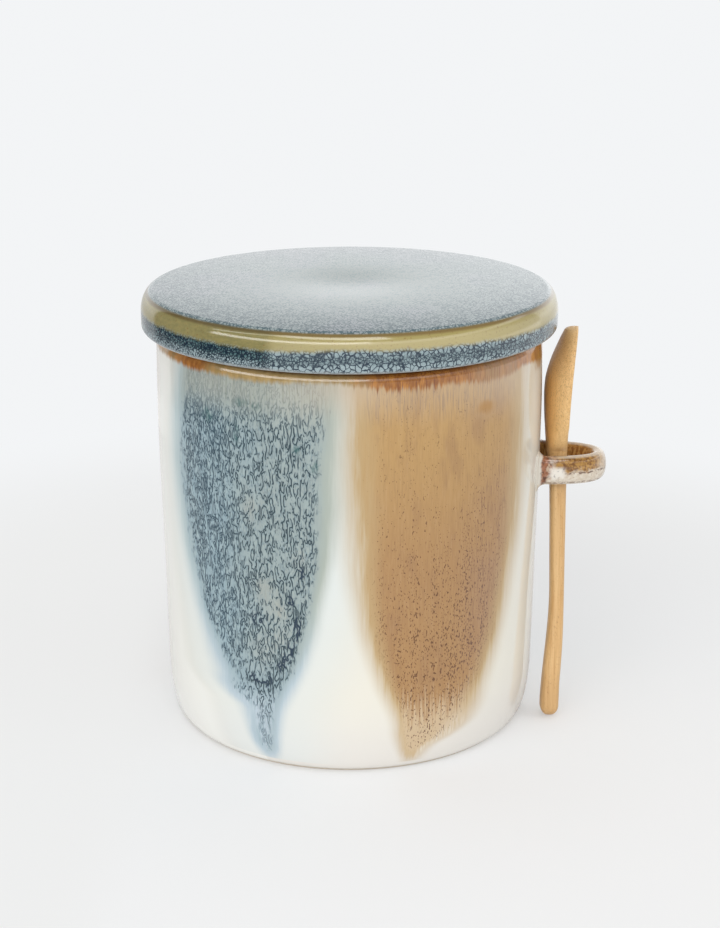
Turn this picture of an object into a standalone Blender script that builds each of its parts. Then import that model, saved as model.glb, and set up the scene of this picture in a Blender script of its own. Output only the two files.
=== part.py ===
# Stoneware storage jar: a lift-off lid with a silicone seal, and a bamboo spoon in a loop on the jar's wall.
# Metres, +Z up, standing on z = 0. The loop and the spoon are on the +X side of the jar.

import math

import bmesh
import bpy
from mathutils import Matrix, Vector

MM = 0.001

# Gaps and facets
SEAT_GAP = 0.3 * MM  # between faces that rest on each other
CUT_OVERRUN = 2.0 * MM  # how far a cutter or a hidden end runs past what it meets
MERGE_DISTANCE = 0.01 * MM
TURNED_STEPS = 64  # facets round every turned piece
ARC_POINTS = 5  # points on a rounded corner

# Jar
JAR_RADIUS = 55.0 * MM  # outside, at the mouth
JAR_HEIGHT = 117.2 * MM
JAR_WALL = 4.6 * MM
JAR_BELLY = 0.5 * MM  # how far the wall swells at mid height
JAR_FLOOR = 5.4 * MM  # thickness over the hollow of the underside
LIP_OUTER_ROUNDING = 1.9 * MM
LIP_INNER_ROUNDING = 1.3 * MM
BASE_TUCK = 3.3 * MM  # how far the wall turns in at the bottom
BASE_TURN = 18.0 * MM  # height over which it turns in
FOOT_WIDTH = 5.0 * MM  # unglazed ring that the jar stands on
FOOT_BEVEL = 0.6 * MM
RECESS_DEPTH = 0.9 * MM  # hollow of the underside, inside the foot ring
FLOOR_FILLET = 7.0 * MM  # inside, between the wall and the floor
WALL_POINTS = 7
BASE_TURN_POINTS = 7

# Lid
LID_OVERHANG = 4.9 * MM  # past the jar's wall
LID_EDGE_HEIGHT = 11.0 * MM
LID_SHOULDER_WIDTH = 3.6 * MM
LID_SHOULDER_HEIGHT = 6.2 * MM
LID_LOWER_ROUNDING = 1.2 * MM
LID_CROWN = 1.0 * MM  # rise of the top between its edge and its dish
LID_DISH_RADIUS = 27.0 * MM
LID_DISH_DEPTH = 1.2 * MM
LID_PLATE = 6.2 * MM  # thickness under the level of the shoulder's top
LID_TOP_POINTS = 9
SHOULDER_POINTS = 7

# Spigot under the lid, which drops into the mouth and carries the seal
SPIGOT_DEPTH = 9.0 * MM
SPIGOT_WALL = 4.4 * MM
SPIGOT_CLEARANCE = 2.4 * MM  # from the jar's inside
SPIGOT_ROUNDING = 1.2 * MM
SPIGOT_FILLET = 3.0 * MM

# Silicone seal in the spigot's groove
GROOVE_DEPTH = 1.1 * MM
GROOVE_DROP = 2.0 * MM  # from the lid's underside down to the groove
SEAL_HEIGHT = 4.6 * MM
FIN_THICKNESS = 0.9 * MM
FIN_LIFT = 0.7 * MM  # how far each fin is bent up by the jar's wall
FIN_COUNT = 2

# Spoon, measured along its length from the tip that stands on the table to the nose of the bowl
SPOON_DROP = 1.5 * MM  # from the jar's rim down to the nose
SPOON_WALL_GAP = 1.5 * MM  # from the jar's belly to the bowl's back
TIP_FORWARD = 11.6 * MM  # how far the tip stands in front of the loop's middle
BOWL_LENGTH = 35.7 * MM
BOWL_WIDTH = 24.5 * MM
BOWL_DEPTH = 7.1 * MM  # from the back to the rim, seen from the side
BOWL_FLARE = 2.8 * MM  # how far the rim turns outwards up to the nose
BOWL_RIM = 1.6 * MM  # wall left round the hollow
BOWL_BACK_WALL = 2.0 * MM  # wood left behind the deepest place
HANDLE_WIDTH = 7.2 * MM
HANDLE_THICKNESS = 4.3 * MM
HANDLE_LEAN = 0.2 * MM  # how far the handle leans outwards between its waist and the bowl
TIP_CURL = 1.2 * MM  # how far the handle's end bends towards the jar
TIP_ROUNDING = 3.0 * MM
FLARE_START_SHARE = 0.2  # along the bowl, where the rim starts to turn out
WAIST_SHARE = 0.45  # along the handle, its thinnest place
TIP_END_SHARE = 0.15  # what the tip's rounding leaves of its width at the very end
SPOON_STATIONS = 37
SPOON_SECTION_POINTS = 20
HOLLOW_RINGS = 12
DEEPEST_SHARE = 0.5  # along the bowl
HOLLOW_LENGTH_SHARE = 0.46  # half the hollow's length with its rim, along the bowl
HANDLE_SQUARENESS = 3.2  # 2 is an ellipse; more is squarer
BOWL_SQUARENESS = 2.1

# Along the handle, tip to bowl: place share, thickness share, width share, curl share
HANDLE_SHARES = (
    (0.00, 1.24, 1.06, 1.00),
    (0.06, 1.27, 1.08, 0.86),
    (0.13, 1.22, 1.07, 0.72),
    (0.20, 1.19, 1.05, 0.42),
    (0.29, 1.11, 1.02, 0.12),
    (0.42, 0.98, 0.98, 0.00),
    (0.60, 1.01, 0.96, 0.00),
    (0.80, 1.08, 0.96, 0.00),
    (0.87, 1.12, 0.96, 0.00),
    (0.94, 1.23, 1.04, 0.00),
    (1.00, 1.36, 1.28, 0.00),
)

# Along the bowl, shoulder to nose: place share, depth share of the back, width share
BOWL_SHARES = (
    (0.00, 0.825, 0.376),
    (0.04, 0.840, 0.500),
    (0.11, 0.870, 0.650),
    (0.23, 0.920, 0.840),
    (0.37, 0.965, 0.960),
    (0.50, 0.998, 1.000),
    (0.58, 0.993, 0.990),
    (0.67, 0.930, 0.950),
    (0.75, 0.845, 0.880),
    (0.84, 0.720, 0.765),
    (0.92, 0.605, 0.590),
    (0.97, 0.510, 0.400),
    (1.00, 0.345, 0.200),
)

# The spoon's way out: a flat arc upwards and outwards, past the lid's edge
LIFT_ARC_RADIUS = 400.0 * MM
LIFT_ARC_RISE = 30.0 * MM  # from the tip, along the spoon, up to the level of the arc's middle

# Loop that the handle stands in
LOOP_REACH = 20.4 * MM  # from the jar's wall to the loop's outside
LOOP_THICKNESS = 4.8 * MM
LOOP_HEIGHT = 8.4 * MM
LOOP_SIDE_CLEARANCE = 1.9 * MM  # on each side of the handle
LOOP_FLARE = 1.2 * MM  # growth of the strap's section, all round, where it meets the wall
LOOP_FLARE_LENGTH = 4.0 * MM
LOOP_AZIMUTH = math.radians(-4.1)
LOOP_SQUARENESS = 2.3
STRAP_SQUARENESS = 2.4
LOOP_POINTS = 29
STRAP_POINTS = 16

# Worked out from the sizes above
JAR_INSIDE_RADIUS = JAR_RADIUS - JAR_WALL
FOOT_OUTER_RADIUS = JAR_RADIUS - BASE_TUCK - FOOT_BEVEL
FOOT_INNER_RADIUS = FOOT_OUTER_RADIUS - FOOT_WIDTH
FLOOR_Z = RECESS_DEPTH + JAR_FLOOR
LID_RADIUS = JAR_RADIUS + LID_OVERHANG
LID_SEAT_Z = JAR_HEIGHT + SEAT_GAP
SPIGOT_RADIUS = JAR_INSIDE_RADIUS - SPIGOT_CLEARANCE
SPIGOT_INSIDE_RADIUS = SPIGOT_RADIUS - SPIGOT_WALL
SPOON_TOP_Z = JAR_HEIGHT - SPOON_DROP
LOOP_TOP_Z = SPOON_TOP_Z - BOWL_LENGTH + SEAT_GAP
LOOP_Z = LOOP_TOP_Z - LOOP_HEIGHT / 2
LOOP_HALF_WIDTH = HANDLE_WIDTH / 2 + LOOP_SIDE_CLEARANCE + LOOP_THICKNESS / 2
SPOON_LEAN = math.atan2(TIP_FORWARD, LOOP_Z)
SPOON_LENGTH = (SPOON_TOP_Z - SEAT_GAP) / math.cos(SPOON_LEAN)
HANDLE_LENGTH = SPOON_LENGTH - BOWL_LENGTH / math.cos(SPOON_LEAN)


def arc(center_r, center_z, half_width, half_height, start_degrees, end_degrees, count):
    """Points on an ellipse's arc, as (radius, height)."""
    points = []
    for index in range(count):
        angle = math.radians(start_degrees + (end_degrees - start_degrees) * index / (count - 1))
        points.append((center_r + half_width * math.cos(angle), center_z + half_height * math.sin(angle)))
    return points


def signed_power(value, exponent):
    """A power that keeps the sign, for rounded rectangles."""
    return math.copysign(abs(value) ** exponent, value)


def read_shares(table, place, column):
    """One column of a table of shares at a place along it, eased with a smooth curve through the rows."""
    last = len(table) - 1
    index = 0
    while index < last - 1 and place > table[index + 1][0]:
        index += 1
    before, after = table[index], table[index + 1]
    step = after[0] - before[0]
    share = min(max((place - before[0]) / step, 0.0), 1.0)
    slopes = []
    for row in (index, index + 1):
        low, high = table[max(row - 1, 0)], table[min(row + 1, last)]
        slopes.append((high[column] - low[column]) / (high[0] - low[0]) * step)
    cube, square = share**3, share**2
    start_part = (2 * cube - 3 * square + 1) * before[column] + (cube - 2 * square + share) * slopes[0]
    end_part = (3 * square - 2 * cube) * after[column] + (cube - square) * slopes[1]
    return start_part + end_part


def wall_radius(height):
    """The jar's outside radius at a height, between the base's turn and the lip."""
    share = (height - BASE_TURN) / (JAR_HEIGHT - BASE_TURN)
    return JAR_RADIUS + JAR_BELLY * math.sin(math.pi * share)


def jar_outline():
    """From the middle of the inside floor, over the lip and down to the middle of the underside."""
    lip_outer_r = JAR_RADIUS - LIP_OUTER_ROUNDING
    lip_inner_r = JAR_INSIDE_RADIUS + LIP_INNER_ROUNDING
    floor_corner_r = JAR_INSIDE_RADIUS - FLOOR_FILLET
    points = [(0.0, FLOOR_Z)]
    points += arc(floor_corner_r, FLOOR_Z + FLOOR_FILLET, FLOOR_FILLET, FLOOR_FILLET, -90, 0, ARC_POINTS)
    points += arc(lip_inner_r, JAR_HEIGHT - LIP_INNER_ROUNDING, LIP_INNER_ROUNDING, LIP_INNER_ROUNDING, 180, 90, ARC_POINTS)
    points += arc(lip_outer_r, JAR_HEIGHT - LIP_OUTER_ROUNDING, LIP_OUTER_ROUNDING, LIP_OUTER_ROUNDING, 90, 0, ARC_POINTS)
    wall_top = JAR_HEIGHT - LIP_OUTER_ROUNDING
    for index in range(1, WALL_POINTS + 1):
        height = wall_top + (BASE_TURN - wall_top) * index / (WALL_POINTS + 1)
        points.append((wall_radius(height), height))
    points += arc(JAR_RADIUS - BASE_TUCK, BASE_TURN, BASE_TUCK, BASE_TURN - FOOT_BEVEL, 0, -90, BASE_TURN_POINTS)
    points += [(FOOT_OUTER_RADIUS, 0.0), (FOOT_INNER_RADIUS + FOOT_BEVEL, 0.0)]
    points += [(FOOT_INNER_RADIUS, RECESS_DEPTH), (0.0, RECESS_DEPTH)]
    return points


def lid_top_height(radius):
    """The lid's top: a low crown that falls to the shoulder and dips to a shallow dish in the middle."""
    edge_r = LID_RADIUS - LID_SHOULDER_WIDTH
    rise = LID_CROWN * (1 - (radius / edge_r) ** 4)
    dish = LID_DISH_DEPTH * math.exp(-((radius / LID_DISH_RADIUS) ** 2) * 3)
    return LID_SEAT_Z + LID_EDGE_HEIGHT + rise - dish


def lid_outline():
    """From the middle of the top, round the edge, down the spigot and back to the middle of its hollow."""
    edge_r = LID_RADIUS - LID_SHOULDER_WIDTH
    points = []
    for index in range(LID_TOP_POINTS):
        radius = edge_r * index / LID_TOP_POINTS
        points.append((radius, lid_top_height(radius)))
    shoulder_z = LID_SEAT_Z + LID_EDGE_HEIGHT - LID_SHOULDER_HEIGHT
    points += arc(edge_r, shoulder_z, LID_SHOULDER_WIDTH, LID_SHOULDER_HEIGHT, 90, 0, SHOULDER_POINTS)
    lower_r = LID_RADIUS - LID_LOWER_ROUNDING
    points += arc(lower_r, LID_SEAT_Z + LID_LOWER_ROUNDING, LID_LOWER_ROUNDING, LID_LOWER_ROUNDING, 0, -90, ARC_POINTS)
    groove_r = SPIGOT_RADIUS - GROOVE_DEPTH
    groove_top = LID_SEAT_Z - GROOVE_DROP
    groove_bottom = groove_top - SEAL_HEIGHT - 2 * SEAT_GAP
    spigot_end = LID_SEAT_Z - SPIGOT_DEPTH
    points += [(SPIGOT_RADIUS, LID_SEAT_Z), (SPIGOT_RADIUS, groove_top), (groove_r, groove_top)]
    points += [(groove_r, groove_bottom), (SPIGOT_RADIUS, groove_bottom)]
    outer_r = SPIGOT_RADIUS - SPIGOT_ROUNDING
    inner_r = SPIGOT_INSIDE_RADIUS + SPIGOT_ROUNDING
    round_z = spigot_end + SPIGOT_ROUNDING
    points += arc(outer_r, round_z, SPIGOT_ROUNDING, SPIGOT_ROUNDING, 0, -90, ARC_POINTS)
    points += arc(inner_r, round_z, SPIGOT_ROUNDING, SPIGOT_ROUNDING, -90, -180, ARC_POINTS)
    ceiling = LID_SEAT_Z + LID_EDGE_HEIGHT - LID_PLATE
    fillet_r = SPIGOT_INSIDE_RADIUS - SPIGOT_FILLET
    points += arc(fillet_r, ceiling - SPIGOT_FILLET, SPIGOT_FILLET, SPIGOT_FILLET, 0, 90, ARC_POINTS)
    points.append((0.0, ceiling))
    return points


def seal_outline():
    """A band that fills the spigot's groove, with fins that reach out to the jar's inside."""
    band_inner = SPIGOT_RADIUS - GROOVE_DEPTH + SEAT_GAP
    band_outer = SPIGOT_RADIUS
    fin_outer = JAR_INSIDE_RADIUS - SEAT_GAP
    top = LID_SEAT_Z - GROOVE_DROP - SEAT_GAP
    points = [(band_inner, top), (band_outer, top)]
    pitch = SEAL_HEIGHT / FIN_COUNT
    for index in range(FIN_COUNT):
        root = top - pitch * (index + 0.5) + FIN_THICKNESS / 2
        points += [(band_outer, root), (fin_outer, root + FIN_LIFT)]
        points += [(fin_outer, root + FIN_LIFT - FIN_THICKNESS), (band_outer, root - FIN_THICKNESS)]
    points += [(band_outer, top - SEAL_HEIGHT), (band_inner, top - SEAL_HEIGHT)]
    return points


def wall_cutter_outline():
    """The jar's wall with a seat's gap round it, as high as the loop and its overrun."""
    reach = LOOP_HEIGHT / 2 + LOOP_FLARE + CUT_OVERRUN
    top, bottom = LOOP_Z + reach, LOOP_Z - reach
    points = [(0.0, top)]
    for index in range(WALL_POINTS):
        height = top + (bottom - top) * index / (WALL_POINTS - 1)
        points.append((wall_radius(height) + SEAT_GAP, height))
    points.append((0.0, bottom))
    return points


def new_material(name, color, roughness, metallic=0.0):
    material = bpy.data.materials.new(name)
    material.use_nodes = True
    shader = material.node_tree.nodes["Principled BSDF"]
    shader.inputs["Base Color"].default_value = (*color, 1.0)
    shader.inputs["Roughness"].default_value = roughness
    shader.inputs["Metallic"].default_value = metallic
    material.diffuse_color = (*color, 1.0)
    return material


def new_collection(name):
    collection = bpy.data.collections.new(name)
    bpy.context.scene.collection.children.link(collection)
    return collection


def add_object(name, mesh, collection, material=None):
    obj = bpy.data.objects.new(name, mesh)
    collection.objects.link(obj)
    if material is not None:
        mesh.materials.append(material)
    return obj


def hide_cutter(cutter):
    cutter.hide_render = True
    cutter.display_type = "WIRE"


def turned(name, outline, collection, material=None, closed=False):
    """A solid of revolution about the Z axis, from an outline of (radius, height) that runs down its outer side."""
    mesh = bpy.data.meshes.new(name)
    count = len(outline)
    edges = [(index, index + 1) for index in range(count - 1)]
    if closed:
        edges.append((count - 1, 0))
    mesh.from_pydata([(radius, 0.0, height) for radius, height in outline], edges, [])
    obj = add_object(name, mesh, collection, material)
    screw = obj.modifiers.new("Turn", "SCREW")
    screw.axis = "Z"
    screw.angle = math.radians(360)
    screw.steps = TURNED_STEPS
    screw.render_steps = TURNED_STEPS
    screw.use_merge_vertices = True
    screw.merge_threshold = MERGE_DISTANCE
    screw.use_smooth_shade = True
    return obj


def loft(name, rings, collection, material):
    """A closed solid through rings that all have the same number of points, with a flat cap at each end."""
    mesh = bpy.data.meshes.new(name)
    form = bmesh.new()
    rows = [[form.verts.new(point) for point in ring] for ring in rings]
    count = len(rows[0])
    for low, high in zip(rows, rows[1:]):
        for index in range(count):
            following = (index + 1) % count
            form.faces.new((low[index], low[following], high[following], high[index]))
    form.faces.new(list(reversed(rows[0])))
    form.faces.new(rows[-1])
    bmesh.ops.recalc_face_normals(form, faces=form.faces)
    form.to_mesh(mesh)
    form.free()
    mesh.shade_smooth()
    mesh.set_sharp_from_angle(angle=math.radians(40))
    return add_object(name, mesh, collection, material)


def cut(target, cutter, name):
    boolean = target.modifiers.new(name, "BOOLEAN")
    boolean.operation = "DIFFERENCE"
    boolean.solver = "EXACT"
    boolean.object = cutter
    hide_cutter(cutter)


def rim_line(length):
    """How far the front stands out from the handle's waist, at a length from the tip."""
    waist = HANDLE_LENGTH * WAIST_SHARE
    lean = HANDLE_LEAN * min(max(length - waist, 0.0) / (HANDLE_LENGTH - waist), 1.0)
    bowl = SPOON_LENGTH - HANDLE_LENGTH
    start = HANDLE_LENGTH + bowl * FLARE_START_SHARE
    share = max(length - start, 0.0) / (SPOON_LENGTH - start)
    return lean + BOWL_FLARE * share**2


def spoon_section(length):
    """Front, back, half width and squareness of the spoon at a length from its tip."""
    if length < HANDLE_LENGTH:
        place = length / HANDLE_LENGTH
        thickness = HANDLE_THICKNESS * read_shares(HANDLE_SHARES, place, 1)
        half_width = HANDLE_WIDTH / 2 * read_shares(HANDLE_SHARES, place, 2)
        curl = TIP_CURL * read_shares(HANDLE_SHARES, place, 3)
        front = rim_line(length) - curl
        end_share = math.sqrt(max(1 - (1 - min(length / TIP_ROUNDING, 1.0)) ** 2, 0.0))
        shrink = TIP_END_SHARE + (1 - TIP_END_SHARE) * end_share
        middle = front - thickness / 2
        return middle + thickness / 2 * shrink, middle - thickness / 2 * shrink, half_width * shrink, 0.0
    place = (length - HANDLE_LENGTH) / (SPOON_LENGTH - HANDLE_LENGTH)
    depth = BOWL_DEPTH * read_shares(BOWL_SHARES, place, 1)
    half_width = BOWL_WIDTH / 2 * read_shares(BOWL_SHARES, place, 2)
    front = rim_line(length)
    return front, front - depth, half_width, min(place / 0.2, 1.0)


def spoon_ring(length):
    """One section of the spoon: a rounded bar on the handle, a D with its flat side outwards on the bowl."""
    front, back, half_width, bowl_share = spoon_section(length)
    squareness = HANDLE_SQUARENESS + (BOWL_SQUARENESS - HANDLE_SQUARENESS) * bowl_share
    bar_middle = (front + back) / 2
    widest = bar_middle + (front - BOWL_RIM / 2 - bar_middle) * bowl_share
    points = []
    for index in range(SPOON_SECTION_POINTS):
        angle = math.tau * index / SPOON_SECTION_POINTS
        side = half_width * signed_power(math.cos(angle), 2 / squareness)
        out = signed_power(math.sin(angle), 2 / squareness)
        reach = front - widest if out > 0 else widest - back
        points.append((widest + reach * out, side, length))
    return points


def make_spoon(collection, cutters, material):
    """A carved bamboo spoon: a handle with a curled tip that swells into a hollowed bowl."""
    lengths = [TIP_ROUNDING * share for share in (0.0, 0.06, 0.2, 0.5, 1.0)]
    body_stations = SPOON_STATIONS - len(lengths)
    handle_stations = body_stations * 2 // 5
    for index in range(1, handle_stations + 1):
        lengths.append(TIP_ROUNDING + (HANDLE_LENGTH - TIP_ROUNDING) * index / handle_stations)
    bowl_stations = body_stations - handle_stations
    for index in range(1, bowl_stations + 1):
        share = math.sin(math.pi / 2 * index / bowl_stations)
        lengths.append(HANDLE_LENGTH + (SPOON_LENGTH - HANDLE_LENGTH) * share)
    spoon = loft("spoon", [spoon_ring(length) for length in lengths], collection, material)

    # The hollow: half of an egg, sunk from the rim's plane to the wall behind the deepest place
    deepest = HANDLE_LENGTH + (SPOON_LENGTH - HANDLE_LENGTH) * DEEPEST_SHARE
    hollow_half_length = (SPOON_LENGTH - HANDLE_LENGTH) * HOLLOW_LENGTH_SHARE - BOWL_RIM
    hollow_half_width = BOWL_WIDTH / 2 - BOWL_RIM
    hollow_depth = BOWL_DEPTH - BOWL_BACK_WALL
    tilt = math.atan2(rim_line(SPOON_LENGTH) - rim_line(HANDLE_LENGTH), SPOON_LENGTH - HANDLE_LENGTH)
    mesh = bpy.data.meshes.new("bowl_hollow")
    form = bmesh.new()
    bmesh.ops.create_uvsphere(form, u_segments=HOLLOW_RINGS * 2, v_segments=HOLLOW_RINGS, radius=1.0)
    stretch = Matrix.Diagonal((hollow_depth, hollow_half_width, hollow_half_length, 1.0))
    place = Matrix.Translation((rim_line(deepest), 0.0, deepest)) @ Matrix.Rotation(tilt, 4, "Y")
    bmesh.ops.transform(form, matrix=place @ stretch, verts=form.verts)
    form.to_mesh(mesh)
    form.free()
    cutter = add_object("bowl_hollow", mesh, cutters)
    cutter.parent = spoon
    cut(spoon, cutter, "Hollow")

    back_at_deepest = rim_line(deepest) - BOWL_DEPTH
    front_x = JAR_RADIUS + JAR_BELLY + SPOON_WALL_GAP - back_at_deepest
    loop_y = front_x * math.tan(LOOP_AZIMUTH)
    end_drop = HANDLE_WIDTH / 2 * TIP_END_SHARE * math.sin(SPOON_LEAN)
    tip = Vector((front_x, loop_y - TIP_FORWARD, SEAT_GAP + end_drop))

    # The spoon hangs on an empty at the middle of its lifting arc, whose Y axis the arc turns about
    lift = bpy.data.objects.new("spoon_lift", None)
    collection.objects.link(lift)
    leaned = Matrix.Rotation(-SPOON_LEAN, 4, "X")
    from_tip = Vector((LIFT_ARC_RADIUS, 0.0, LIFT_ARC_RISE))
    lift.matrix_world = Matrix.Translation(tip + leaned @ from_tip) @ leaned
    spoon.parent = lift
    spoon.location = -from_tip
    return spoon


def loop_center(turn):
    """A point on the strap's middle line: a rounded rectangle's outer half, from limb to limb."""
    along = (LOOP_REACH - LOOP_THICKNESS / 2) * abs(math.cos(turn)) ** (2 / LOOP_SQUARENESS)
    across = LOOP_HALF_WIDTH * signed_power(math.sin(turn), 2 / LOOP_SQUARENESS)
    return Vector((along, across, 0.0))


def make_loop(collection, cutters, material):
    """A strap bent into a loop and luted to the wall, its ends swelling into the wall."""
    middle = [loop_center(math.pi * (index / (LOOP_POINTS - 1) - 0.5)) for index in range(LOOP_POINTS)]
    inwards = Vector((-JAR_WALL / 2 - CUT_OVERRUN, 0.0, 0.0))
    middle = [middle[0] + inwards] + middle + [middle[-1] + inwards]
    rings = []
    for index, center in enumerate(middle):
        before = middle[max(index - 1, 0)]
        after = middle[min(index + 1, len(middle) - 1)]
        along = (after - before).normalized()
        across = Vector((along.y, -along.x, 0.0))
        nearness = min(max(1 - center.x / LOOP_FLARE_LENGTH, 0.0), 1.0)
        flare = LOOP_FLARE * nearness**2
        half_thickness = LOOP_THICKNESS / 2 + flare
        half_height = LOOP_HEIGHT / 2 + flare
        ring = []
        for step in range(STRAP_POINTS):
            angle = math.tau * step / STRAP_POINTS
            side = half_thickness * signed_power(math.cos(angle), 2 / STRAP_SQUARENESS)
            rise = half_height * signed_power(math.sin(angle), 2 / STRAP_SQUARENESS)
            ring.append(center + across * side + Vector((0.0, 0.0, rise)))
        rings.append(ring)
    loop = loft("spoon_loop", rings, collection, material)
    loop.location = (JAR_RADIUS * math.cos(LOOP_AZIMUTH), JAR_RADIUS * math.sin(LOOP_AZIMUTH), LOOP_Z)
    loop.rotation_euler = (0.0, 0.0, LOOP_AZIMUTH)
    cutter = turned("wall_side", wall_cutter_outline(), cutters)
    cut(loop, cutter, "Wall")
    return loop


def main():
    for obj in list(bpy.data.objects):
        bpy.data.objects.remove(obj)

    jar_parts = new_collection("storage_jar")
    cutters = new_collection("cutters")

    glaze = new_material("ivory_glaze", (0.80, 0.77, 0.69), 0.18)
    loop_glaze = new_material("amber_glaze", (0.55, 0.33, 0.14), 0.2)
    lid_glaze = new_material("crackle_glaze", (0.47, 0.53, 0.53), 0.22)
    silicone = new_material("silicone", (0.62, 0.62, 0.60), 0.45)
    bamboo = new_material("bamboo", (0.62, 0.37, 0.16), 0.55)

    turned("jar_body", jar_outline(), jar_parts, glaze)
    make_loop(jar_parts, cutters, loop_glaze)

    # The lid and its seal lift together, so both hang on an empty at the lid's seat
    lift = bpy.data.objects.new("lid_lift", None)
    jar_parts.objects.link(lift)
    lift.location = (0.0, 0.0, LID_SEAT_Z)
    bpy.context.view_layer.update()
    lid = turned("lid", lid_outline(), jar_parts, lid_glaze)
    seal = turned("lid_seal", seal_outline(), jar_parts, silicone, closed=True)
    for piece in (lid, seal):
        piece.parent = lift
        piece.matrix_parent_inverse = lift.matrix_world.inverted()

    make_spoon(jar_parts, cutters, bamboo)
    bpy.context.view_layer.update()


main()
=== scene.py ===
import math

import bpy
import numpy as np
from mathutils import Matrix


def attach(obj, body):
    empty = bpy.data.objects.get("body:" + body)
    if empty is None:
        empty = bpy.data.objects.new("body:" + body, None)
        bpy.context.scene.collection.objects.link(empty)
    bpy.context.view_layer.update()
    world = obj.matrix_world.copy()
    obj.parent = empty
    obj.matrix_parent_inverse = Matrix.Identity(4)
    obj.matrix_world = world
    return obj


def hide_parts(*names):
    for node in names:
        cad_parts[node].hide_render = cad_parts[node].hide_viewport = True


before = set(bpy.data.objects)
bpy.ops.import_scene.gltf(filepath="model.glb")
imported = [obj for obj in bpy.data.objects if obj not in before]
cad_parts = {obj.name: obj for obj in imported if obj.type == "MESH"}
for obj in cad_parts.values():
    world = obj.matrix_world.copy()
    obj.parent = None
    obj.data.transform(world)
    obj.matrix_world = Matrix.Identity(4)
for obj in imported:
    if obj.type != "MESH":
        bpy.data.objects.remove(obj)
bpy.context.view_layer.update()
print("frame loaded:", ", ".join(sorted(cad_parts)))

mm = 0.001
pole = 0.4 * mm  # a turned surface starts this far from the axis, where a fan closes it


class Sizes(dict):
    # a dictionary whose values are also read by name: jar.radius
    __getattr__ = dict.__getitem__


def inMetres(**lengths):
    return Sizes((name, value * mm) for name, value in lengths.items())


# helpers: points into meshes, curves and turned surfaces for the pieces, and nodes into materials

def gridMesh(name, points, material, closedEnds=2, attributes=None):
    # rows of points joined by quads round each ring; a closed end is a fan to the middle of its ring,
    # and with none closed the last ring is joined to the first
    rows, columns = points.shape[:2]
    index = np.arange(rows * columns).reshape(rows, columns)
    if closedEnds == 0:
        index = np.vstack([index, index[:1]])
    following = np.roll(index, -1, axis=1)
    faces = np.stack([index[:-1], index[1:], following[1:], following[:-1]], axis=-1).reshape(-1, 4).tolist()
    hub = np.full(columns, rows * columns)
    for fan in [(hub, index[0], following[0]), (hub + 1, following[-1], index[-1])][:closedEnds]:
        faces += np.stack(fan, axis=-1).tolist()
    ends = (0, -1)[:closedEnds]
    corners = np.vstack([points.reshape(-1, 3)] + [points[end].mean(axis=0) for end in ends])
    mesh = bpy.data.meshes.new(name)
    mesh.from_pydata(corners.tolist(), [], faces)
    for label, values in (attributes or {}).items():
        values = np.broadcast_to(values, (rows, columns)).astype(float)
        flat = np.append(values, [values[end].mean() for end in ends])
        mesh.attributes.new(label, "FLOAT", "POINT").data.foreach_set("value", flat.astype(np.float32))
    mesh.shade_smooth()
    mesh.materials.append(material)
    piece = bpy.data.objects.new(name, mesh)
    bpy.context.scene.collection.objects.link(piece)
    return piece


def arcPoints(centerR, centerZ, halfWidth, halfHeight, startDegrees, endDegrees, count):
    # points on an ellipse: centre plus half width times cosine, centre plus half height times sine
    angle = np.radians(np.linspace(startDegrees, endDegrees, count))
    return np.stack([centerR + halfWidth * np.cos(angle), centerZ + halfHeight * np.sin(angle)], axis=-1)


def spread(start, end, count):
    # evenly spaced points between two (radius, height) pairs, without the first
    share = np.linspace(0, 1, count + 1)[1:, None]
    return np.array(start) * (1 - share) + np.array(end) * share


def turnedSurface(profile, columns):
    # each profile point swept round the axis: x is r times sine of the turn, y is minus r times its cosine
    turn = np.linspace(-np.pi, np.pi, columns, endpoint=False)
    radius, height = profile[:, :1], profile[:, 1:]
    x = radius * np.sin(turn)
    y = -radius * np.cos(turn)
    z = np.repeat(height, columns, axis=1)
    return np.stack([x, y, z], axis=-1), turn


def smoothStep(value, low, high):
    share = np.clip((value - low) / (high - low), 0, 1)
    return share * share * (3 - 2 * share)


def signedPower(value, exponent):
    return np.sign(value) * np.abs(value) ** exponent


def easedTable(places, values, at):
    # a smooth curve through the table's rows: a cubic on each step, with slopes from the rows beside it
    places, values = np.array(places, float), np.array(values, float)
    slope = np.gradient(values, places)
    index = np.clip(np.searchsorted(places, at) - 1, 0, len(places) - 2)
    step = places[index + 1] - places[index]
    share = np.clip((at - places[index]) / step, 0, 1)
    cube, square = share**3, share**2
    return ((2 * cube - 3 * square + 1) * values[index] + (cube - 2 * square + share) * step * slope[index]
            + (3 * square - 2 * cube) * values[index + 1] + (cube - square) * step * slope[index + 1])


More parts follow.
